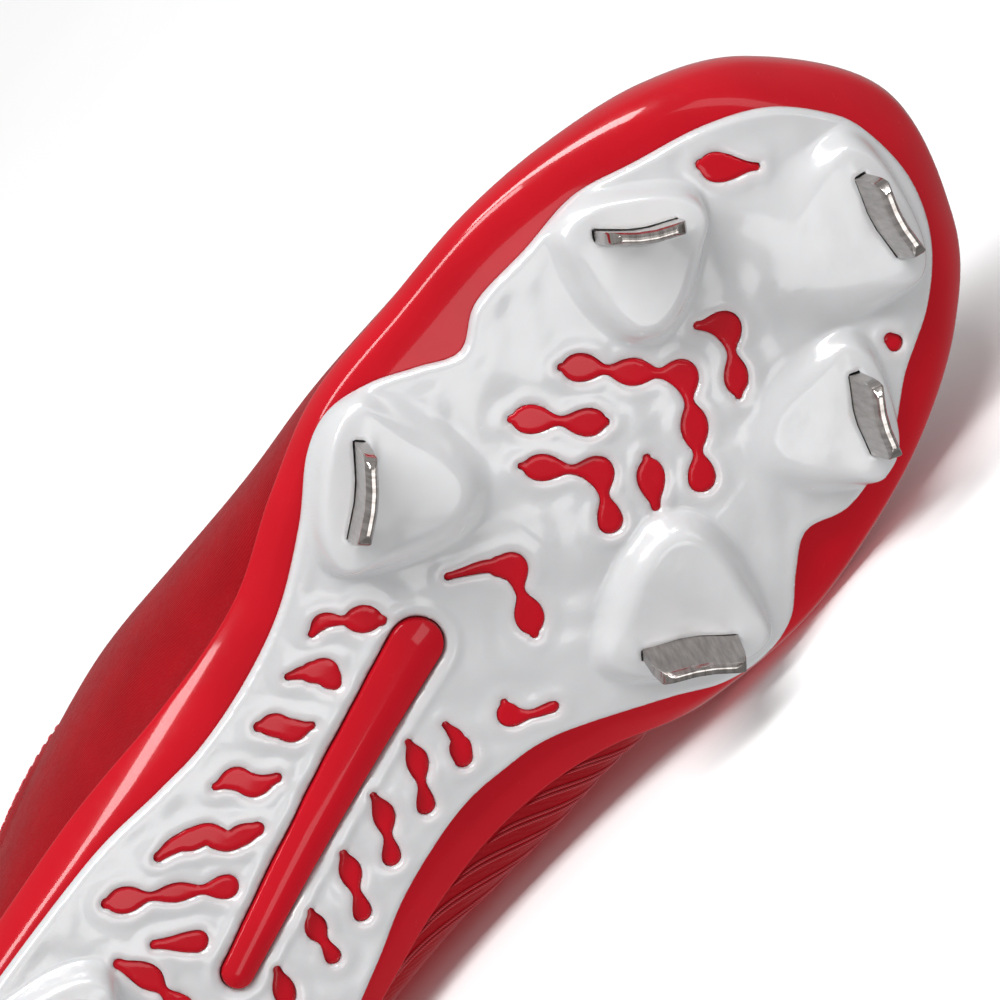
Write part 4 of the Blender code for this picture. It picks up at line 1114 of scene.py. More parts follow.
@dataclass
class ArchRib:
    """The plain raised red bar in the plate's midfoot window."""
    rows: int = 14
    around: int = 72

    def build(self, finish: Material) -> Piece:
        """A tapered capsule drawn in to its spine, its face a shallow dome with soft shoulders.

        Args:
            finish: its material.

        Returns:
            The bar.
        """
        front, back = RIB_ENDS
        ahead = unit(front - back)
        side = np.array([-ahead[1], ahead[0]])
        half = self.around // 2
        sweep = np.linspace(-math.pi / 2, math.pi / 2, half // 2)
        arc = np.column_stack([np.cos(sweep), np.sin(sweep)])
        share = np.linspace(0, 1, half)[1:-1, None]
        left = front + (ahead * arc[:, :1] + side * arc[:, 1:]) * S.rib_front
        end = back + (-ahead * arc[:, :1] - side * arc[:, 1:]) * S.rib_back
        outline = np.concatenate([left, left[-1] * (1 - share) + end[0] * share, end,
                                  end[-1] * (1 - share) + left[0] * share])
        spine = front + line_share(outline, front, back)[:, None] * (back - front)
        fall = np.cos(np.linspace(0.25, math.pi / 2, self.rows))
        inset = np.concatenate([[0, 0], 1 - fall ** 1.6])
        flat = outline[:, None] * (1 - inset[None, :, None]) + spine[:, None] * inset[None, :, None]
        face = -S.rib_proud * (1 - 0.82 * fall ** 3)
        lift = np.concatenate([[S.plate], [0.2 * S.plate], face])
        grid = np.concatenate([flat, (LAST.underside(flat[..., 0], flat[..., 1])
                                      + lift[None, :])[..., None]], axis=-1)
        shell = Shell()
        shell.grid(grid, wrap=True)
        under = np.stack([grid[:, 0], LAST.lifted(spine, S.plate)], axis=1)
        shell.grid(under, wrap=True)
        return shell.make("arch_bar", [finish], sharp=50)


@dataclass
class SteelBlade:
    """A stamped steel blade: bent in three facets, corners cut, tip bevelled, edges broken."""
    edge_break: float = 0.28 * MM
    corner: float = 0.30 * MM
    around: int = 64

    def build(self, blade: Blade, finish: Material) -> Piece:
        """Carry a rounded rectangle down the axis, narrowing to the tip, and bend it in plan.

        Args:
            blade: the stud's frame.
            finish: its material.

        Returns:
            The blade.
        """
        bevel, root = S.blade_bevel, S.slot_depth - S.clearance
        half, thick = S.blade_width * blade.stud.width / 2, S.blade_thickness / 2
        tip, edge = S.blade_tip_width * blade.stud.width / 2, S.blade_edge / 2
        length, soft = blade.length, self.edge_break
        rows = np.array([(-root, half, thick), (0, half - 0.02 * MM, thick),
            (length * 0.5, (half + tip + 0.4 * bevel) / 2, thick),
            (length - 2.3 * bevel, tip + 0.42 * bevel, thick),
            (length - 2.1 * bevel, tip + 0.38 * bevel, thick),
            (length - 1.05 * bevel, tip + 0.12 * bevel, thick),
            (length - 0.9 * bevel, tip + 0.04 * bevel, thick * 0.97),
            (length - soft, tip - 0.62 * bevel, edge * 1.14),
            (length - 0.3 * soft, tip - 0.72 * bevel - 0.3 * soft, edge * 1.0),
            (length, tip - 0.8 * bevel - soft, edge * 0.62)])
        turn = np.linspace(0, 2 * math.pi, self.around, endpoint=False)
        u, v = self.rounded_rectangle(turn, rows[:, 1], rows[:, 2])
        u = np.concatenate([u, u[:, -1:], u[:, -1:]], axis=1)
        v = np.concatenate([v, 0.5 * v[:, -1:], 0 * v[:, -1:]], axis=1)
        down = np.concatenate([rows[:, 0], [length, length]])
        bend = blade.bend(u)
        grid = (blade.foot + down[None, :, None] * blade.axis + u[..., None] * blade.width
                + (v + bend)[..., None] * blade.deep)
        shell = Shell()
        span = np.stack([u, np.broadcast_to(down, u.shape)], axis=-1)
        shell.grid(grid, wrap=True, span=span)
        base = np.stack([grid[:, 0], blade.foot - root * blade.axis + u[:, :1] * blade.width
                         + bend[:, :1] * blade.deep], axis=1)
        shell.grid(base, wrap=True)
        return shell.make(blade.stud.name + "_blade", [finish], sharp=22)

    def rounded_rectangle(self, turn: Array, half_u: Array, half_v: Array) -> tuple[Array, Array]:
        """Points of rectangles with broken corners: straight sides and small quarter circles.

        Args:
            turn: as many values as there are points.
            half_u: half widths.
            half_v: half depths.

        Returns:
            Two grids: places across the width and across the depth.
        """
        quarter, corner = len(turn) // 4, self.corner
        sweep = np.linspace(0, math.pi / 2, 4)
        cos, sin = np.cos(sweep), np.sin(sweep)
        fill = quarter - len(sweep)
        side = np.linspace(1, 0, fill + 2)[1:-1, None]
        u_parts, v_parts = [], []
        for sign_u, sign_v, swap in ((1, 1, False), (-1, 1, True), (-1, -1, False), (1, -1, True)):
            a, b = (sin, cos) if swap else (cos, sin)
            u_parts.append(sign_u * (half_u - corner + corner * a[:, None]))
            v_parts.append(sign_v * (half_v - corner + corner * b[:, None]))
            if not swap:
                u_parts.append(sign_u * (half_u - corner) * (2 * side - 1))
                v_parts.append(sign_v * half_v + 0 * side)
            else:
                u_parts.append(sign_u * half_u + 0 * side)
                v_parts.append(sign_v * (half_v - corner) * (2 * side - 1))
        return np.concatenate(u_parts), np.concatenate(v_parts)


@dataclass
class BaseTray:
    """The glossy red cup under the foot, rolled up into the rand."""
    ring_count: int = 230
    inset: float = 5.5 * MM          # where its floor begins to roll up
    roll_share: float = 0.42         # how far up the rand the roll ends
    lip_from: float = 0.93           # how far up the rand its round lip begins
    pad_gap: float = 0.05 * MM       # round each pad in the plate's windows
    pad_sunk: float = 0.38 * MM      # from the plate's face down to a pad
    pad_deeper: float = 0.75 * MM    # more of it on the inner side of the waist
    pad_round: float = 0.8 * MM      # over what width a pad's rim rolls away
    pad_drop: float = 0.28 * MM      # and how far

    def pads(self, plate: Plate, shell: Shell) -> None:
        """Soft pads that fill the plate's windows: trimmed sheets, rounded off at their rims.

        Args:
            plate: the plate with the windows.
            shell: what the pads are added to.
        """
        flat = np.stack(np.meshgrid(np.arange(0.035, S.length * 0.95, plate.step),
                                    np.arange(-0.034, 0.036, plate.step), indexing="ij"), -1)
        inside = -plate.window_distance(flat.reshape(-1, 2)) - self.pad_gap
        sheet = trim_grid(flat.reshape(-1, 2), flat.shape[:2], inside, plate.step)
        used, renumber = compact(len(sheet.points), sheet.faces)
        places = sheet.points[used]
        depth = np.where(sheet.moved, 0, inside)[used]
        face = LAST.lifted(places, 0)
        share = places / (S.length, S.half_ball)
        waist = smoothstep(0.27, 0.30, share[:, 0]) * (1 - smoothstep(0.49, 0.52, share[:, 0]))
        face[:, 2] += (self.pad_sunk + Plate.roll(depth, self.pad_round, self.pad_drop)
                       + self.pad_deeper * waist * smoothstep(0.0, 0.08, share[:, 1]))
        back = LAST.lifted(places, S.tray_bottom + 0.2 * MM)
        faces, rim = renumber[sheet.faces], renumber[sheet.rim]
        shell.polygons(face, faces)
        shell.polygons(back, faces)
        count = np.arange(len(rim))
        walls = np.concatenate([face[rim[:, 0]], face[rim[:, 1]], back[rim[:, 1]], back[rim[:, 0]]])
        shell.polygons(walls, np.column_stack([count + k * len(rim) for k in range(4)]))

    def build(self, finish: Material, plate: Plate) -> Piece:
        """A floor, a rolled edge (quadratic curves), the rand's wall with a round lip, a lining.

        Args:
            finish: its material.
            plate: the plate that it lies on.

        Returns:
            The tray.
        """
        turn = LAST.ring(self.ring_count)
        _, rand = LAST.sections(turn)
        out = S.clearance + S.rand
        start = LAST.lifted(LAST.flat_offset(turn, out - self.inset), S.tray_bottom)
        corner = LAST.lifted(LAST.flat_offset(turn, out), S.tray_bottom)
        wall_rise = np.linspace(self.roll_share, self.lip_from, 9)[None, :] * rand[:, None]
        wall = LAST.surface(turn, wall_rise) + LAST.normals(turn, wall_rise) * out
        f = np.linspace(0, 1, 13)[None, :, None]
        roll = (start[:, None] * (1 - f) ** 2 + 2 * corner[:, None] * f * (1 - f)
                + wall[:, :1] * f ** 2)
        sweep = round_over(9)
        lip_rise = rand[:, None] * (self.lip_from + (1 - self.lip_from) * np.sin(sweep)[None, :])
        lip_out = S.clearance + S.rand * (0.5 + 0.5 * np.cos(sweep))
        lip = (LAST.surface(turn, lip_rise)
               + LAST.normals(turn, lip_rise) * lip_out[None, :, None])
        inner_rise = np.linspace(self.lip_from, 0, 6)[None, :] * rand[:, None]
        inner = LAST.surface(turn, inner_rise) + LAST.normals(turn, inner_rise) * S.clearance
        inner_edge = LAST.flat_offset(turn, S.clearance)
        inner[:, -1] = LAST.lifted(inner_edge, S.tray_top)
        wall_grid = np.concatenate([roll, wall[:, 1:], lip, inner], axis=1)
        shell = Shell()
        shell.grid(wall_grid, wrap=True)
        shell.grid(LAST.floor(LAST.flat_offset(turn, out - self.inset), S.tray_bottom, 44))
        shell.grid(LAST.floor(inner_edge, S.tray_top, 10))
        self.pads(plate, shell)
        return shell.make("gloss_base_tray", [finish], weld=5e-6, sharp=60)


@dataclass
class Upper:
    """The upper: outside skin with a raised collar and eyestay, padded topline and lining."""
    ring_count: int = 260
    body_rows: int = 34
    collar_pad: float = 2.2 * MM      # the lining's swell inward under the collar
    collar_swell: float = 0.9 * MM    # the skin's swell outward there
    collar_end: tuple[float, float] = (0.33, 0.40)   # shares of the length where it fades
    film_step: float = 0.30 * MM      # thickness of the smooth films
    toe_film: float = 0.845           # share of the length where the toe's film starts
    heel_film: float = 0.215          # and where the heel's ends
    band_rows: tuple[float, ...] = (0.04, 0.09, 0.2, 0.35, 0.5, 0.65, 0.8, 0.9, 0.96)
    lining_rows: tuple[float, ...] = (0.96, 0.85, 0.65, 0.4, 0.1)

    def film(self, points: Array, rise: Array, rand: Array) -> Array:
        """Share of smooth overlay film: the toe cap and the heel counter, with curved edges.

        Args:
            points: places on the last.
            rise: their shares up the sections.
            rand: the rand's shares.

        Returns:
            A number from 0 to 1 at each point.
        """
        x = points[..., 0] / S.length
        up = np.clip((rise - rand) / (1 - rand), 0, 1)
        toe = smoothstep(0.0, 0.012, x - (self.toe_film - 0.16 * np.maximum(0, 0.22 - up) / 0.22
                                          + 0.10 * np.maximum(up - 0.3, 0)))
        heel = smoothstep(0.0, 0.012, (self.heel_film - 0.20 * up ** 1.6) - x)
        return np.maximum(toe, heel)

    def build(self, skin: Material, lining: Material, trim: Material) -> Piece:
        """Skin, rolled topline and lining as one closed shell, then the eyelet holes are cut.

        Args:
            skin: material outside.
            lining: material inside.
            trim: material of the topline.

        Returns:
            The upper.
        """
        turn = LAST.ring(self.ring_count)
        start = LAST.band_start(turn)[:, None]
        _, rand = LAST.sections(turn)
        rand = rand[:, None]
        low = np.concatenate([0 * rand, 0.5 * rand], axis=1)
        body = rand + (start - rand) * np.linspace(0, 1, self.body_rows)[None, :]
        band = start + (1 - start) * np.array(self.band_rows)[None, :]
        rise = np.concatenate([low, body, band], axis=1)
        surface, normal = LAST.surface(turn, rise), LAST.normals(turn, rise)
        share = (rise - start) / (1 - start)
        raised = S.band_step * smoothstep(0.0, 0.09, share)
        film = self.film(surface, rise, rand)
        collar = ((1 - smoothstep(*self.collar_end, surface[..., 0] / S.length))
                  * smoothstep(0.0, 0.7, share))
        film_rise = self.film_step * film * (rise > 0.9 * rand)
        bulge = self.collar_swell * collar * np.sin(np.clip(share, 0, 1) * math.pi)
        outer = surface + normal * (raised + film_rise + bulge)[..., None]
        inner_rise = np.concatenate([start + (1 - start) * np.array(self.lining_rows)[None],
                                     rand + (start - rand) * np.linspace(0.9, 0.1, 9)[None],
                                     0.5 * rand, 0 * rand], axis=1)
        inner_surface = LAST.surface(turn, inner_rise)
        inner_normal = LAST.normals(turn, inner_rise)
        up = np.clip((inner_rise - start) / (1 - start), -1, 1)
        near_heel = 1 - smoothstep(*self.collar_end, inner_surface[..., 0] / S.length)
        swell = self.collar_pad * near_heel * np.exp(-((up - 0.35) / 0.5) ** 2) * (up > -0.95)
        inner = inner_surface - inner_normal * (S.wall + swell)[..., None]
        inner[:, -1] = np.column_stack([LAST.flat_offset(turn, -S.wall), surface[:, 0, 2]])
        sweep = round_over(9)
        top_rise = start + (1 - start) * (0.96 + 0.05 * np.sin(sweep))[None, :]
        top_out = (S.band_step - S.wall) / 2 + (S.band_step + S.wall) / 2 * np.cos(sweep)
        topline = (LAST.surface(turn, top_rise)
                   + LAST.normals(turn, top_rise) * top_out[None, :, None])
        shell = Shell()
        mark = np.maximum(film, raised / S.band_step)
        shell.grid(outer, wrap=True, mark=mark)
        joined = np.concatenate([outer[:, -1:], topline], axis=1)
        shell.grid(joined, wrap=True, kind=2, mark=np.ones(joined.shape[:2]))
        shell.grid(np.concatenate([topline[:, -1:], inner], axis=1), wrap=True, kind=1)
        shell.grid(np.stack([inner[:, -1], outer[:, 0]], axis=1), wrap=True)
        piece = shell.make("laced_upper", [skin, lining, trim], weld=5e-6, sharp=65)
        self.punch(piece)
        return piece

    @staticmethod
    def punch(piece: Piece) -> None:
        """Cut round eyelet holes through the wall with an exact Boolean, and apply it.

        Args:
            piece: the upper.
        """
        work = bmesh.new()
        for at in eyelet_places():
            centre, out = eyelet_frame(at)
            turned = Vector(RESTING.direct(out)).to_track_quat("Z", "X").to_matrix().to_4x4()
            turned.translation = Vector(RESTING.place(centre))
            bmesh.ops.create_cone(work, cap_ends=True, segments=28, radius1=S.eyelet_radius,
                                  radius2=S.eyelet_radius, depth=6 * S.wall, matrix=turned)
        mesh = bpy.data.meshes.new("eyelet_punches")
        work.to_mesh(mesh)
        work.free()
        punches = bpy.data.objects.new("eyelet_punches", mesh)
        bpy.context.scene.collection.objects.link(punches)
        cut = piece.modifiers.new("eyelets", "BOOLEAN")
        cut.operation, cut.object, cut.solver = "DIFFERENCE", punches, "EXACT"
        bpy.context.view_layer.update()
        graph = bpy.context.evaluated_depsgraph_get()
        result = bpy.data.meshes.new_from_object(piece.evaluated_get(graph))
        piece.modifiers.clear()
        old, piece.data = piece.data, result
        bpy.data.meshes.remove(old)
        bpy.data.objects.remove(punches)


def eyelet_places() -> Array:
    """Ring positions of all eyelets, inner side then outer side."""
    inner = LAST.eyelet_turns()
    return np.concatenate([inner, RING - inner])


def eyelet_frame(turn: float) -> tuple[Array, Array]:
    """An eyelet's centre on the eyestay's surface and its direction outward.

    Args:
        turn: its ring position.

    Returns:
        The centre and the direction.
    """
    at = np.array([turn])
    share = LAST.eyelet_rise(at)[:, None]
    out = LAST.normals(at, share)[0, 0]
    return LAST.surface(at, share)[0, 0] + out * S.band_step, out


def plane_axes(out: Array) -> tuple[Array, Array]:
    """Two directions square to a direction."""
    first = unit(np.cross(out, [1.0, 0.0, 0.0]))
    return first, np.cross(out, first)


@dataclass
class Eyelets:
    """Moulded rings pressed into the eyestay's holes."""
    tube: float = 0.75 * MM

    def build(self, finish: Material) -> Piece:
        """A flattened torus round every hole, its inner side drawn down into the wall.

        Args:
            finish: their material.

        Returns:
            The rings as one piece.
        """
        shell = Shell()
        around = np.linspace(0, 2 * math.pi, 40, endpoint=False)
        small = np.linspace(0, 2 * math.pi, 15)
        for at in eyelet_places():
            centre, out = eyelet_frame(at)
            a, b = plane_axes(out)
            spoke = np.cos(around)[:, None] * a + np.sin(around)[:, None] * b
            reach = np.maximum(S.eyelet_radius + 0.1 * MM + self.tube * (0.6 + np.cos(small)),
                               S.eyelet_radius - 0.15 * MM)
            height = self.tube * 0.62 * np.sin(small) - 0.9 * MM * np.clip(-np.cos(small), 0, 1)
            shell.grid(centre + spoke[:, None] * reach[None, :, None]
                       + out * height[None, :, None], wrap=True)
        return shell.make("eyelet_rings", [finish], sharp=70)


@dataclass
class Lace:
    """The flat woven lace, criss-crossed over the tongue and run through the eyelets."""
    points: int = 46
    around: int = 18
    sink: float = 2.6 * MM            # how far each end goes down into its eyelet
    sink_share: float = 0.12          # over what share of a run

    def run(self, ends: tuple[float, float], turns: tuple[float, float],
            over: float) -> tuple[Array, Array]:
        """One run: out of one eyelet, over the throat and into the other.

        Args:
            ends: sides of its two ends, 1 or -1.
            turns: ring positions of its ends.
            over: how high it rides at the crossing, in thicknesses.

        Returns:
            Spine and normals.
        """
        share = np.linspace(0, 1, self.points)
        ease = np.clip((share - 0.06) / 0.88, 0, 1)
        side = ends[0] + (ends[1] - ends[0]) * ease
        turn = turns[0] + (turns[1] - turns[0]) * ease
        spine, normal = LAST.throat(turn, side)
        kernel = np.array([1, 4, 6, 4, 1]) / 16
        for _ in range(2):
            for rows in (spine, normal):
                padded = np.concatenate([rows[:1], rows[:1], rows, rows[-1:], rows[-1:]])
                rows[:] = sum(padded[k:k + len(rows)] * kernel[k] for k in range(5))
        normal = unit(normal)
        plunge = np.clip(1 - np.minimum(share, 1 - share) / self.sink_share, 0, 1) ** 2
        middle = np.exp(-((share - 0.5) / 0.10) ** 2)
        lift = (S.lace_lift + S.lace_thickness / 2 + over * S.lace_thickness * 0.55 * middle
                - self.sink * plunge)
        return spine + normal * lift[:, None], normal

    def build(self, finish: Material) -> Piece:
        """Carry a flattened oval along every run; it narrows where it goes into an eyelet.

        Args:
            finish: its material.

        Returns:
            The lace.
        """
        rows = LAST.eyelet_turns()
        runs = [((1, -1), (rows[-1], rows[-1]), 0.0)]
        for k, (upper_row, lower_row) in enumerate(zip(rows, rows[1:])):
            first = 1.0 if k % 2 else -0.3
            runs.append(((1, -1), (lower_row, upper_row), first))
            runs.append(((-1, 1), (lower_row, upper_row), 0.7 - first))
        shell = Shell()
        turn = np.linspace(0, 2 * math.pi, self.around, endpoint=False)
        wide = np.sign(np.cos(turn)) * np.abs(np.cos(turn)) ** 0.55
        high = np.sign(np.sin(turn)) * np.abs(np.sin(turn)) ** 0.75
        for ends, turns, over in runs:
            spine, normal = self.run(ends, turns, over)
            ahead = unit(np.gradient(spine, axis=0))
            across = unit(np.cross(normal, ahead))
            up = unit(np.cross(ahead, across))
            share = np.linspace(0, 1, self.points)
            pinch = smoothstep(0.0, 0.15, np.minimum(share, 1 - share))
            half = (S.eyelet_radius * 0.72 * (1 - pinch) + S.lace_width / 2 * pinch)[:, None, None]
            thick = (S.lace_thickness / 2 * (1.35 - 0.35 * pinch))[:, None, None]
            grid = (spine[:, None] + across[:, None] * half * wide[None, :, None]
                    + up[:, None] * thick * high[None, :, None])
            way = travelled(spine)
            span = np.stack(np.broadcast_arrays(way[:, None],
                                                wide[None, :] * S.lace_width / 2), -1)
            ring = np.concatenate([grid, grid[:, :1]], axis=1)
            span = np.concatenate([span, span[:, :1]], axis=1)
            shell.grid(ring, span=span)
            for end in (0, -1):
                tip = np.stack([ring[end], np.broadcast_to(spine[end], ring[end].shape)])
                shell.grid(tip)
        return shell.make("woven_lace", [finish], weld=1e-6, sharp=75)


@dataclass
class Tongue:
    """The padded tongue under the throat, with its head standing over the top eyelets."""
    rows: int = 46
    hidden_rows: int = 14             # under the closed part of the upper
    columns: tuple[float, ...] = (1, 0.86, 0.72, 0.58, 0.44, 0.3, 0.15)     # half of them
    climb_span: float = 0.66          # stations of the throat whose slope the head goes on with
    head_round: float = 0.6           # share of the head above which its outline rounds over

    def build(self, face: Material, back: Material) -> Piece:
        """Loft under the throat's surface, with a rounded head, thin edges and a soft crown.

        Args:
            face: material outside.
            back: material inside.

        Returns:
            The tongue.
        """
        turns = np.concatenate([np.linspace(THROAT_TOP + 0.02, 9.5, self.rows),
                                np.linspace(9.6, LAST_STATION, self.hidden_rows)])
        inner = np.array(self.columns)
        sides = np.concatenate([inner, [0], -inner[::-1]])
        grid = []
        for turn in turns:
            tuck = S.tongue_tuck * np.interp(turn, (THROAT_TOP, THROAT_TOP + 1.2), (0.25, 1.0))
            inside = np.interp(turn, (THROAT_TOP, THROAT_TOP + 0.8), (0.80, 1.0))
            reach = sides * (LAST.stay_from + tuck) * inside
            point, normal = LAST.throat(np.full(len(sides), turn), reach)
            grid.append(point - normal * S.tongue_depth)
        body = np.array(grid)
        body[:, 1:-1] = body[:, :-2] / 4 + body[:, 1:-1] / 2 + body[:, 2:] / 4
        top, centre = body[0], body[0, len(sides) // 2]
        low, low_normal = LAST.throat(np.array([THROAT_TOP + self.climb_span]), np.zeros(1))
        below = (low - low_normal * S.tongue_depth)[0]
        climb = unit(unit(centre - below) + np.array([0, 0, 0.35]))
        share = np.linspace(1, 0, 16)[:-1]
        past = np.maximum(share - self.head_round, 0) / 0.47
        narrow = np.where(share > self.head_round, 0.95 * np.sqrt(1 - past ** 2),
                          np.interp(share, (0, 0.42, 0.82), (1, 0.97, 0.88)))
        back_lean = np.interp(share, (0, 0.42, 0.82, 1.0), (0, 0.02, 0.09, 0.16)) * S.tongue_rise
        head = (centre + back_lean[:, None, None] * np.array([1.0, 0, 0])
                + (top - centre)[None] * narrow[:, None, None]
                + climb * (S.tongue_rise * share)[:, None, None])
        grid = np.concatenate([head, body])
        normal = unit(np.cross(np.gradient(grid, axis=1), np.gradient(grid, axis=0)))
        if normal[5, len(sides) // 2, 2] < 0:
            normal = -normal
        normal[-1] = normal[-2, len(sides) // 2]
        rim = np.minimum(1 - np.abs(sides)[None, :], 0.25) / 0.25
        ends = np.minimum(np.arange(len(grid)) / 4.0, 1)[:, None]
        full = np.sqrt(np.clip(1 - (1 - rim * ends) ** 2, 0, 1))
        middle_line = grid - normal * (S.tongue / 2)
        half = (0.12 + 0.88 * full)[..., None] * normal * (S.tongue / 2)
        over, under = middle_line + half, middle_line - half
        shell = Shell()
        shell.grid(over, mark=1 - rim * np.ones_like(ends))
        shell.grid(under, kind=1)
        for column in (0, -1):
            shell.grid(np.stack([over[:, column], under[:, column]], axis=1))
        shell.grid(np.stack([over[0], under[0]]))
        shell.grid(np.stack([over[-1], under[-1]]))
        return shell.make("padded_tongue", [face, back], weld=4e-6, sharp=60)


@dataclass
class Insole:
    """The sock liner, cupped slightly up at its edge."""
    ring_count: int = 150
    dip: float = 0.6 * MM             # how far its bed lies below its edge

    def build(self, finish: Material) -> Piece:
        """Floor and face between the same edges, the face dipping to a soft bed.

        Args:
            finish: its material.

        Returns:
            The liner.
        """
        turn = LAST.ring(self.ring_count)
        edge = LAST.flat_offset(turn, -S.wall - S.clearance)
        low = LAST.floor(edge, S.feather, 12)
        high = LAST.floor(edge, S.feather + S.insole, 36)
        across = np.linspace(-1, 1, high.shape[1])[None, :]
        along = np.linspace(-1, 1, high.shape[0])[:, None]
        high[..., 2] -= self.dip * (1 - across ** 4) * (1 - along ** 8)
        shell = Shell()
        shell.grid(high)
        shell.grid(low)
        shell.grid(np.stack([LAST.lifted(edge, S.feather), LAST.lifted(edge, S.feather + S.insole)],
                            axis=1), wrap=True)
        return shell.make("sock_liner", [finish], weld=5e-6, sharp=50)


@dataclass
class Stitching:
    """Rows of lockstitch along the raised band round the topline and the throat."""
    length: float = 2.3 * MM
    gap: float = 0.9 * MM
    thread: float = 0.33 * MM
    lines: tuple[float, ...] = (0.14, 0.22, 0.90)    # shares of the band's width

    def stitches(self, path: Array, out: Array, shell: Shell) -> None:
        """Place short rounded threads nose to tail along a path of points with normals.

        Args:
            path: points of the row.
            out: their normals.
            shell: what they are added to.
        """
        way = travelled(path)
        starts = np.arange(self.gap, way[-1] - self.length, self.length + self.gap)
        if not len(starts):
            return
        f = np.linspace(0, 1, 7)
        at = starts[:, None] + f[None] * self.length
        spine = np.stack([np.interp(at, way, path[:, k]) for k in range(3)], axis=-1)
        normal = unit(np.stack([np.interp(at, way, out[:, k]) for k in range(3)], axis=-1))
        ahead = unit(np.gradient(spine, axis=1))
        across = np.cross(normal, ahead)
        body = np.sqrt(np.clip(1 - (2 * f - 1) ** 4, 0.03, 1))[None, :, None, None]
        turn = np.linspace(0, 2 * math.pi, 7)
        ring = (across[:, :, None] * np.cos(turn)[None, None, :, None]
                + normal[:, :, None] * np.sin(turn)[None, None, :, None] * 0.8)
        hump = normal * (self.thread * (0.55 - 0.9 * (2 * f - 1) ** 4))[None, :, None]
        grids = (spine + hump)[:, :, None] + ring * body * self.thread
        for grid in grids:
            shell.grid(grid)

    def build(self, finish: Material) -> Piece:
        """Two rows along the band's foot and one along its edge.

        Args:
            finish: its material.

        Returns:
            The stitches as one piece.
        """
        shell = Shell()
        turn = np.linspace(0, RING, 1100)
        start = LAST.band_start(turn)
        for share in self.lines:
            rise = (start + (1 - start) * share)[:, None]
            out = LAST.normals(turn, rise)[:, 0]
            self.stitches(LAST.surface(turn, rise)[:, 0] + out * S.band_step, out, shell)
        return shell.make("stitching", [finish], weld=1e-8, sharp=80)


@dataclass
class ThreadTracks:
    """Paired stitched rows that sweep from the rand up to the eyestay on the inner waist."""
    radius: float = 0.30 * MM
    pairs: int = 6
    first: float = 4.4              # station where the first pair starts
    between: float = 0.42           # stations from pair to pair
    apart: float = 0.05             # from a pair's middle to each of its rows
    sweep: float = 2.3              # stations that the first pair crosses
    shorter: float = 0.08           # less of it with each pair

    def build(self, finish: Material) -> Piece:
        """Half-sunk cords: each keeps low along the rand, then climbs to the band.

        Args:
            finish: their material.

        Returns:
            The cords as one piece.
        """
        shell = Shell()
        share = np.linspace(0, 1, 90)
        turn = np.linspace(0, 2 * math.pi, 9)
        for k in range(self.pairs):
            for side in (-self.apart, self.apart):
                at = (self.first + self.between * k + side
                      + (self.sweep - self.shorter * k) * share)
                _, rand = LAST.sections(at)
                top, low = LAST.band_start(at) + 0.01, rand + 0.02
                rise = (low + (top - low) * share ** 1.5)[:, None]
                normal = LAST.normals(at, rise)[:, 0]
                spine = LAST.surface(at, rise)[:, 0] + normal * self.radius * 0.3
                ahead = unit(np.gradient(spine, axis=0))
                across = np.cross(normal, ahead)
                taper = np.clip(np.minimum(share, 1 - share) / 0.03, 0.05, 1)[:, None, None]
                grid = spine[:, None] + self.radius * taper * (
                    across[:, None] * np.cos(turn)[None, :, None]
                    + normal[:, None] * np.sin(turn)[None, :, None])
                shell.grid(grid)
        return shell.make("thread_tracks", [finish], weld=1e-7, sharp=80)


def linear(colour: str) -> tuple[float, float, float, float]:
    """An sRGB hex colour as linear red, green, blue and alpha."""
    parts = [int(colour[k:k + 2], 16) / 255 for k in (1, 3, 5)]
    return (*(p / 12.92 if p <= 0.04045 else ((p + 0.055) / 1.055) ** 2.4 for p in parts), 1.0)


class Space(Enum):
    """What a pattern is laid out on."""
    OBJECT = "Object"
    UV = "UV"


def add_node(tree: bpy.types.NodeTree, kind: str, settings: Optional[dict] = None,
             links: Optional[dict] = None) -> bpy.types.Node:
    """Add a node.

    Args:
        tree: the material's node tree.
        kind: the node's type name.
        settings: attribute names, or input names or numbers, with their values.
        links: input names or numbers with the output socket that feeds each.

    Returns:
        The new node.
    """
    node = tree.nodes.new(kind)
    for name, value in (settings or {}).items():
        if isinstance(name, str) and hasattr(node, name):
            setattr(node, name, value)
        else:
            node.inputs[name].default_value = value
    for name, socket in (links or {}).items():
        tree.links.new(socket, node.inputs[name])
    return node


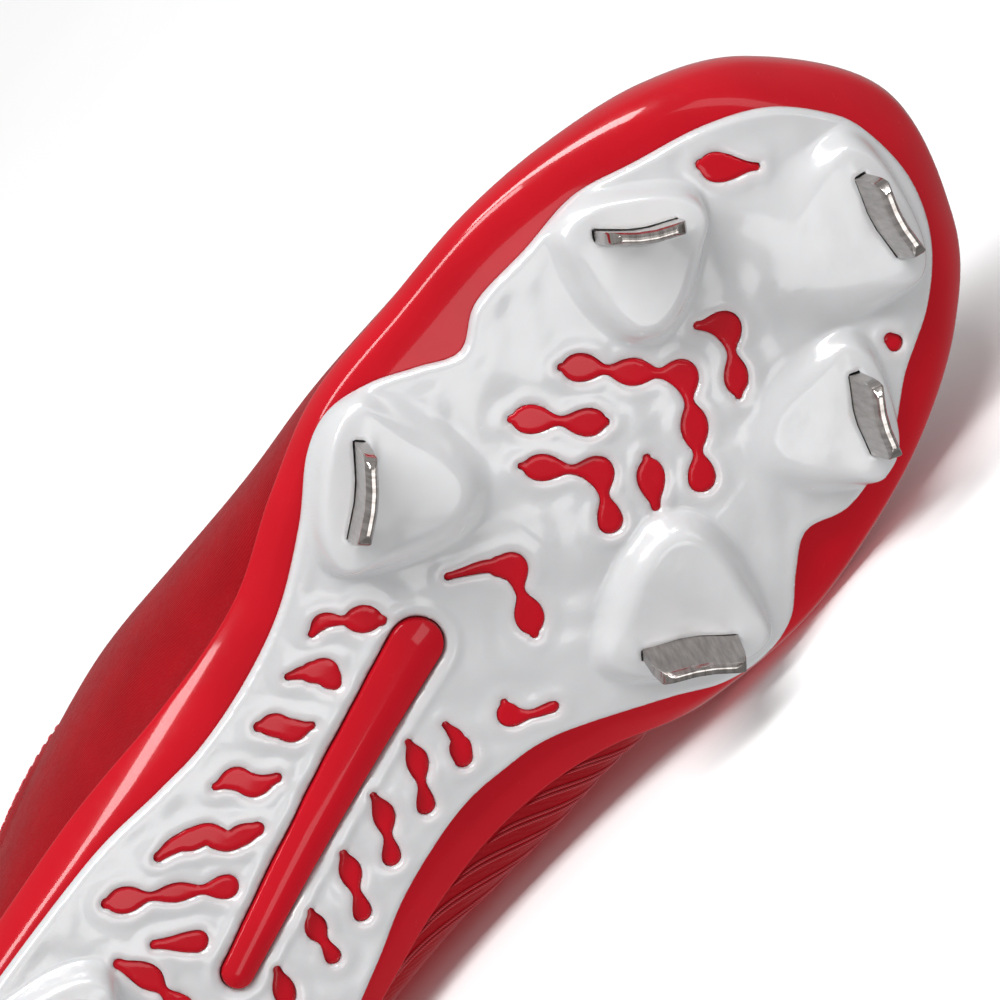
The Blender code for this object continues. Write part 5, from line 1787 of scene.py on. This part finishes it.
class Finish:
    """A material in the making: a Principled shader with layered colour, roughness and bumps."""

    def __init__(self, name: str, **sockets: object) -> None:
        """Start the material and set the shader's own sockets.

        Args:
            name: the material's name.
            sockets: socket names, _ for a space, with values.
        """
        self.material = bpy.data.materials.new(name)
        self.material.use_nodes = True
        self.tree = self.material.node_tree
        self.shader = self.tree.nodes["Principled BSDF"]
        for socket, value in sockets.items():
            self.shader.inputs[socket.replace("_", " ")].default_value = value
        self.normal = None

    def node(self, kind: str, settings: Optional[dict] = None,
             links: Optional[dict] = None) -> bpy.types.Node:
        """Add a node to this material."""
        return add_node(self.tree, kind, settings, links)

    def space(self, kind: Space, scale: tuple[float, float, float] = (1, 1, 1),
              turn: float = 0.0) -> Socket:
        """Pattern coordinates in metres, scaled and turned by radians."""
        place = self.node("ShaderNodeTexCoord")
        return self.node("ShaderNodeMapping", {"Scale": scale, "Rotation": (0, 0, turn)},
                         {"Vector": place.outputs[kind.value]}).outputs[0]

    def noise(self, millimetres: float, detail: float = 3.0, rough: float = 0.5,
              space: Optional[Socket] = None) -> Socket:
        """Noise whose lumps have a size in millimetres, on given or plain coordinates."""
        space = space or self.space(Space.OBJECT)
        return self.node("ShaderNodeTexNoise", {"Scale": 1 / (millimetres * MM), "Detail": detail,
                                                "Roughness": rough}, {"Vector": space}).outputs[0]

    def ramp(self, source: Socket, low: float, high: float, to_low: float,
             to_high: float) -> Socket:
        """Map a value from one range to another, held at its ends."""
        return self.node("ShaderNodeMapRange", {"From Min": low, "From Max": high, "To Min": to_low,
                                                "To Max": to_high}, {0: source}).outputs[0]

    def math(self, operation: str, a: object, b: object = 0.0) -> Socket:
        """One arithmetic step on two sockets or numbers."""
        settings, links = {"operation": operation}, {}
        for k, item in enumerate((a, b)):
            (links if isinstance(item, Socket) else settings)[k] = item
        return self.node("ShaderNodeMath", settings, links).outputs[0]

    def blend(self, share: object, first: object, second: object) -> Socket:
        """Mix two colours, given as hex text or sockets, by a share.

        Args:
            share: socket or number, 0 for the first.
            first: a colour.
            second: a colour.

        Returns:
            The mixed colour.
        """
        node = self.node("ShaderNodeMix", {"data_type": "RGBA"})
        for socket, item in ((node.inputs[0], share), (node.inputs[6], first),
                             (node.inputs[7], second)):
            if isinstance(item, Socket):
                self.tree.links.new(item, socket)
            else:
                socket.default_value = linear(item) if isinstance(item, str) else item
        return node.outputs[2]

    def attribute(self) -> Socket:
        """The number that the mesh carries at each point."""
        return self.node("ShaderNodeAttribute", {"attribute_name": "mark"}).outputs["Fac"]

    def bump(self, height: Socket, depth: float, strength: float = 1.0) -> None:
        """Add a bump whose height of one stands this deep, in metres, over the earlier ones.

        Args:
            height: the pattern.
            depth: metres.
            strength: share of it.
        """
        links = {"Height": height}
        if self.normal:
            links["Normal"] = self.normal
        self.normal = self.node("ShaderNodeBump", {"Distance": depth, "Strength": strength},
                                links).outputs[0]

    def feed(self, **sockets: Socket) -> "Finish":
        """Link outputs to the shader's sockets."""
        for name, socket in sockets.items():
            self.tree.links.new(socket, self.shader.inputs[name.replace("_", " ")])
        return self

    def done(self) -> Material:
        """Link the bumps and hand over the material."""
        if self.normal:
            self.tree.links.new(self.normal, self.shader.inputs["Normal"])
        return self.material


@dataclass(frozen=True)
class GlossRubber:
    """Injection-moulded thermoplastic rubber, red: a wet-looking skin with faint flow waves."""
    deep: str = "#A20012"
    bright: str = "#BE021A"

    def build(self) -> Material:
        """Two close reds in soft clouds, a clear gloss, flow waves of 9 mm and handling haze."""
        it = Finish("moulded_tpu_red", IOR=1.5, Coat_Weight=0.42, Coat_Roughness=0.06,
                    Specular_IOR_Level=0.08)
        cloud = it.noise(22, 2)
        it.bump(it.noise(9, 2), 0.05 * MM)
        it.bump(it.noise(0.5, 2), 0.004 * MM)
        haze = it.noise(3.5, 5, 0.65)
        return it.feed(Base_Color=it.blend(cloud, self.deep, self.bright),
                       Roughness=it.ramp(haze, 0.35, 0.75, 0.18, 0.30)).done()


@dataclass(frozen=True)
class WhitePlateNylon:
    """Moulded nylon, white: dense and slightly milky, glossy, with a duller, warmer painted pink
    bounce light at the window rims.
    """
    body: str = "#C7C7C8"
    shade: str = "#BFBFC1"
    # colour of the painted pink bounce light of the red pads, mixed in at the window rims
    rim: str = "#CDB9BA"

    def build(self) -> Material:
        """Milky white with soft clouds, a painted pink bounce light at window rims and fine mould
        texture.
        """
        it = Finish("moulded_nylon_white", IOR=1.53, Coat_Weight=0.35, Coat_Roughness=0.08,
                    Subsurface_Weight=0.08, Subsurface_Scale=0.002)
        cloud = it.noise(14, 3)
        base = it.blend(cloud, self.shade, self.body)
        # share of the painted pink bounce light: up to 0.3 where the mesh's mark is 1, at the
        # window rims
        rims = it.math("MULTIPLY", it.attribute(), 0.30)
        it.bump(it.noise(5, 2), 0.14 * MM)
        it.bump(it.noise(0.45, 2), 0.004 * MM)
        haze = it.noise(4, 5, 0.6)
        return it.feed(Base_Color=it.blend(rims, base, self.rim),
                       Roughness=it.ramp(haze, 0.3, 0.75, 0.16, 0.28)).done()


@dataclass(frozen=True)
class PolishedSteel:
    """Stamped steel, nickel-plated and polished: mirror-like, with drawn lines and wear."""
    metal: str = "#B2ACA8"
    dull: str = "#5C5551"

    def build(self) -> Material:
        """Bright metal, drawn lines of 1.1 mm, coarser than real ones to show, cloudy wear."""
        it = Finish("plated_steel", Metallic=1.0, Roughness=0.14)
        lines = it.noise(1.1, 3, 0.6, it.space(Space.UV, (1, 0.12, 1)))
        wear = it.noise(2.2, 3, 0.5)
        it.bump(lines, 0.003 * MM)
        it.bump(it.noise(4, 1), 0.012 * MM)
        drawn = it.ramp(lines, 0.35, 0.65, 0, 0.5)
        return it.feed(Base_Color=it.blend(drawn, self.metal, self.dull),
                       Roughness=it.ramp(wear, 0.35, 0.75, 0.10, 0.20)).done()


@dataclass(frozen=True)
class CoatedLeather:
    """Coated synthetic leather, red: satin, fine pebbled grain, embossed threads, smooth films."""
    deep: str = "#7A000A"
    bright: str = "#9C0210"

    def build(self) -> Material:
        """Grain of 0.8 mm and a slanting thread emboss of 1.6 mm, both fading on smooth films."""
        it = Finish("coated_leather_red", IOR=1.48, Coat_Weight=0.06, Coat_Roughness=0.12,
                    Specular_IOR_Level=0.08)
        film = it.attribute()
        open_skin = it.math("SUBTRACT", 1.0, film)
        grain = it.node("ShaderNodeTexVoronoi", {"feature": "F1", "Scale": 1 / (0.8 * MM)},
                        {"Vector": it.space(Space.OBJECT)}).outputs["Distance"]
        threads = it.node("ShaderNodeTexWave", {"Scale": 1 / (4.6 * MM), "Distortion": 3.0,
                                                "Detail": 1.5, "Detail Scale": 0.8},
                          {"Vector": it.space(Space.UV, (1, 1, 1), math.radians(38))}).outputs[0]
        it.bump(it.math("MULTIPLY", threads, open_skin), 0.05 * MM)
        it.bump(it.math("MULTIPLY", grain, it.ramp(open_skin, 0, 1, 0.25, 1)), 0.06 * MM)
        it.bump(it.noise(12, 2), 0.1 * MM)
        cloud = it.noise(9, 4)
        wear = it.noise(2.5, 5, 0.7)
        colour = it.blend(it.ramp(cloud, 0.3, 0.7, 0.3, 0.6), self.deep, self.bright)
        rough = it.math("SUBTRACT", it.ramp(wear, 0.3, 0.75, 0.36, 0.52),
                        it.math("MULTIPLY", film, 0.14))
        return it.feed(Base_Color=colour, Roughness=rough).done()


@dataclass(frozen=True)
class Cloth:
    """Woven or knitted polyester: two thread directions, matt with a soft sheen."""
    name: str
    thread: str
    gap: str
    spacing: float              # millimetres from thread to thread
    space: Space = Space.UV
    depth: float = 0.12
    slant: float = 0.0

    def build(self) -> Material:
        """Two crossed waves give the weave; noise breaks up colour and height."""
        it = Finish(self.name, Roughness=0.85, Sheen_Weight=0.25, Sheen_Roughness=0.4,
                    Sheen_Tint=linear(self.thread))
        scale = 1 / (self.spacing * MM) / 3.1416
        waves = [it.node("ShaderNodeTexWave", {"Scale": scale, "bands_direction": axis,
                                               "Distortion": 0.6, "Detail": 1.0},
                         {"Vector": it.space(self.space, (1, 1, 1), math.radians(self.slant))}
                         ).outputs[1] for axis in ("X", "Y")]
        weave = it.math("MAXIMUM", waves[0], waves[1])
        fuzz = it.noise(0.35, 3, 0.7)
        it.bump(weave, self.depth * MM)
        it.bump(fuzz, 0.05 * MM)
        mix = it.math("MULTIPLY", it.ramp(weave, 0.2, 0.95, 0, 1), it.ramp(fuzz, 0.3, 0.7, 0.75, 1))
        return it.feed(Base_Color=it.blend(mix, self.gap, self.thread)).done()


@dataclass(frozen=True)
class SewingThread:
    """Bonded polyester sewing thread: twisted, a little shiny."""
    name: str
    colour: str
    shade: str

    def build(self) -> Material:
        """Slanting twist lines 0.5 mm apart over one colour."""
        it = Finish(self.name, Roughness=0.5, Sheen_Weight=0.2)
        twist = it.node("ShaderNodeTexWave", {"Scale": 1 / (1.6 * MM), "Distortion": 0.5},
                        {"Vector": it.space(Space.UV, (1, 1, 1), math.radians(30))}).outputs[1]
        it.bump(twist, 0.08 * MM)
        return it.feed(Base_Color=it.blend(twist, self.shade, self.colour)).done()


@dataclass(frozen=True)
class FoamCloth:
    """Brushed liner cloth on foam: soft, dark, with a faint knit."""
    light: str = "#2B2B2F"
    dark: str = "#141417"

    def build(self) -> Material:
        """Knit of 1.1 mm in soft light and dark, with lint."""
        it = Finish("brushed_liner", Roughness=0.95, Sheen_Weight=0.4, Sheen_Roughness=0.5)
        knit = it.node("ShaderNodeTexVoronoi", {"feature": "F1", "Scale": 1 / (1.1 * MM)},
                       {"Vector": it.space(Space.OBJECT)}).outputs["Distance"]
        lint = it.noise(0.5, 4, 0.7)
        it.bump(knit, 0.15 * MM)
        it.bump(lint, 0.05 * MM)
        return it.feed(Base_Color=it.blend(it.math("MULTIPLY", knit, lint), self.dark,
                                           self.light)).done()


@dataclass(frozen=True)
class Studio:
    """Pale floor, soft boxes and the camera at the photograph's angle to the shoe."""
    aim_along: float = 0.190          # point of the sole that the camera looks past, in metres
    aim_up: float = 0.017
    aim_pixel: tuple[float, float] = (566.0, 528.0)
    frame_pixels: float = 1000.0
    distance: float = 0.950
    pixels_per_metre: float = 5400.0
    side_tilt: float = 20.0           # degrees: view from beneath toward the outer side
    end_tilt: float = 2.0
    roll: float = 52.6                # degrees of the toe over the picture's right

    def camera(self) -> None:
        """Set the camera from the view's two tilts and roll, then centre its frame by turning."""
        lat, end, roll = (math.radians(a) for a in (self.side_tilt, self.end_tilt, self.roll))
        away = np.array([math.sin(end), -math.sin(lat), 0])
        away[2] = -math.sqrt(1 - away @ away)
        spot = np.array([self.aim_along, 0, self.aim_up])
        forward = -away
        toe = unit(np.array([1.0, 0, 0]) - forward * forward[0])
        outer = np.array([0, -1.0, 0])
        outer = outer - forward * (outer @ forward)
        outer = unit(outer - toe * (outer @ toe))
        right = math.cos(roll) * toe - math.sin(roll) * outer
        up = math.sin(roll) * toe + math.cos(roll) * outer
        focal = self.pixels_per_metre * self.distance
        half = self.frame_pixels / 2
        ahead = unit(forward + right * (half - self.aim_pixel[0]) / focal
                     - up * (half - self.aim_pixel[1]) / focal)
        right = unit(right - ahead * (right @ ahead))
        up = np.cross(right, ahead)
        data = bpy.data.cameras.new("camera")
        data.sensor_width = 36.0
        data.lens = focal / self.frame_pixels * data.sensor_width
        data.clip_start, data.clip_end = 0.01, 20
        camera = bpy.data.objects.new("camera", data)
        bpy.context.scene.collection.objects.link(camera)
        matrix = np.eye(4)
        axes = [RESTING.direct(v) for v in (right, up, -ahead)]
        matrix[:3, :3] = np.column_stack(axes)
        matrix[:3, 3] = RESTING.place(spot + away * self.distance)
        camera.matrix_world = Matrix(matrix.tolist())
        bpy.context.scene.camera = camera

    @staticmethod
    def box_light(name: str, place: tuple[float, float, float], aim: tuple[float, float, float],
                  size: tuple[float, float], power: float, gloss: bool = True,
                  matt: bool = True) -> None:
        """Place a rectangular soft box.

        Args:
            name: the light's name.
            place: where it stands.
            aim: where it points.
            size: its two sides in metres.
            power: watts.
            gloss: seen in reflections.
            matt: lights matt surfaces.
        """
        data = bpy.data.lights.new(name, "AREA")
        data.shape, data.size, data.size_y, data.energy = "RECTANGLE", *size, power
        light = bpy.data.objects.new(name, data)
        light.location = place
        light.rotation_euler = (Vector(aim) - Vector(place)).to_track_quat("-Z", "Y").to_euler()
        light.visible_glossy, light.visible_diffuse = gloss, matt
        bpy.context.scene.collection.objects.link(light)

    def build(self) -> None:
        """World, floor, lights and camera."""
        world = bpy.data.worlds.new("studio")
        world.use_nodes = True
        tree = world.node_tree
        sky = tree.nodes["Background"]
        place = add_node(tree, "ShaderNodeTexCoord")
        split = add_node(tree, "ShaderNodeSeparateXYZ", links={0: place.outputs["Generated"]})
        rise = add_node(tree, "ShaderNodeMapRange", {"From Min": -0.7, "From Max": 0.6,
                                                     "To Min": 0.36, "To Max": 0.62},
                        {0: split.outputs["Z"]})
        tree.links.new(rise.outputs[0], sky.inputs["Strength"])
        sky.inputs["Color"].default_value = linear("#F6F6F6")
        bpy.context.scene.world = world
        bpy.context.scene.view_settings.view_transform = "Standard"
        it = Finish("matt_paper_white", Roughness=0.9)
        it.bump(it.noise(1.5, 3), 0.02 * MM)
        paper = it.feed(Base_Color=it.blend(it.noise(60, 2), "#E9E9E9", "#EDEDED")).done()
        reach = 6.0
        mesh = bpy.data.meshes.new("floor")
        mesh.from_pydata([(-reach, -reach, 0), (reach, -reach, 0), (reach, reach, 0),
                          (-reach, reach, 0)], [], [(0, 1, 2, 3)])
        mesh.materials.append(paper)
        floor = bpy.data.objects.new("floor", mesh)
        bpy.context.scene.collection.objects.link(floor)
        floor.visible_diffuse = floor.visible_glossy = floor.visible_shadow = False
        self.box_light("overhead_box", (0.0, -0.95, 2.3), (0.03, 0, 0.05), (2.2, 0.55), 66)
        self.box_light("front_box", (0.15, -1.5, -0.05), (0.05, 0, 0.05), (0.9, 0.5), 3.6)
        self.box_light("toe_box", (1.4, -0.7, 0.3), (0.05, 0, 0.05), (0.3, 0.9), 1.8)
        self.box_light("rim_box", (1.0, -0.25, 1.9), (0.08, 0, 0.08), (0.5, 1.5), 60, matt=False)
        self.box_light("waist_box", (-0.35, -0.45, -1.3), (-0.02, 0, 0.03), (1.2, 1.0), 12,
                       gloss=False)
        self.camera()


def main() -> None:
    """Build the finishes, then every piece of the shoe, and report each."""
    logging.basicConfig(level=logging.INFO, format="%(message)s")
    Studio().build()
    red, white, steel = GlossRubber().build(), WhitePlateNylon().build(), PolishedSteel().build()
    skin = CoatedLeather().build()
    liner = FoamCloth().build()
    tongue_face = Cloth("tongue_mesh_red", "#B30A1E", "#5E0410", 1.3).build()
    lace_weave = Cloth("woven_lace_red", "#BE0A20", "#6A0412", 0.9, slant=42, depth=0.16).build()
    trim = Cloth("edge_binding_red", "#A8081B", "#640512", 0.8, depth=0.08).build()
    thread = SewingThread("sewing_thread_red", "#D11A30", "#8E0616").build()
    cord = SewingThread("stitched_cord_red", "#C00A20", "#86040F").build()

    plate = Plate()
    attach(plate.build(white), "white_plate", "outsole_plate")
    attach(ArchRib().build(red), "red_gloss", "arch_rib")
    for blade in BLADES:
        attach(SteelBlade().build(blade, steel), "steel", blade.stud.name)
    attach(BaseTray().build(red, plate), "red_gloss", "base_tray")
    attach(Upper().build(skin, liner, trim), "upper", "upper")
    attach(Eyelets().build(red), "red_gloss")
    attach(Lace().build(lace_weave), "lace_cord", "lace")
    tongue = attach(Tongue().build(tongue_face, liner), "tongue_cloth", "tongue")
    attach(Insole().build(liner), "liner", "insole")
    attach(Stitching().build(thread), "upper")
    attach(ThreadTracks().build(cord), "upper")


if __name__ == "__main__":
    main()
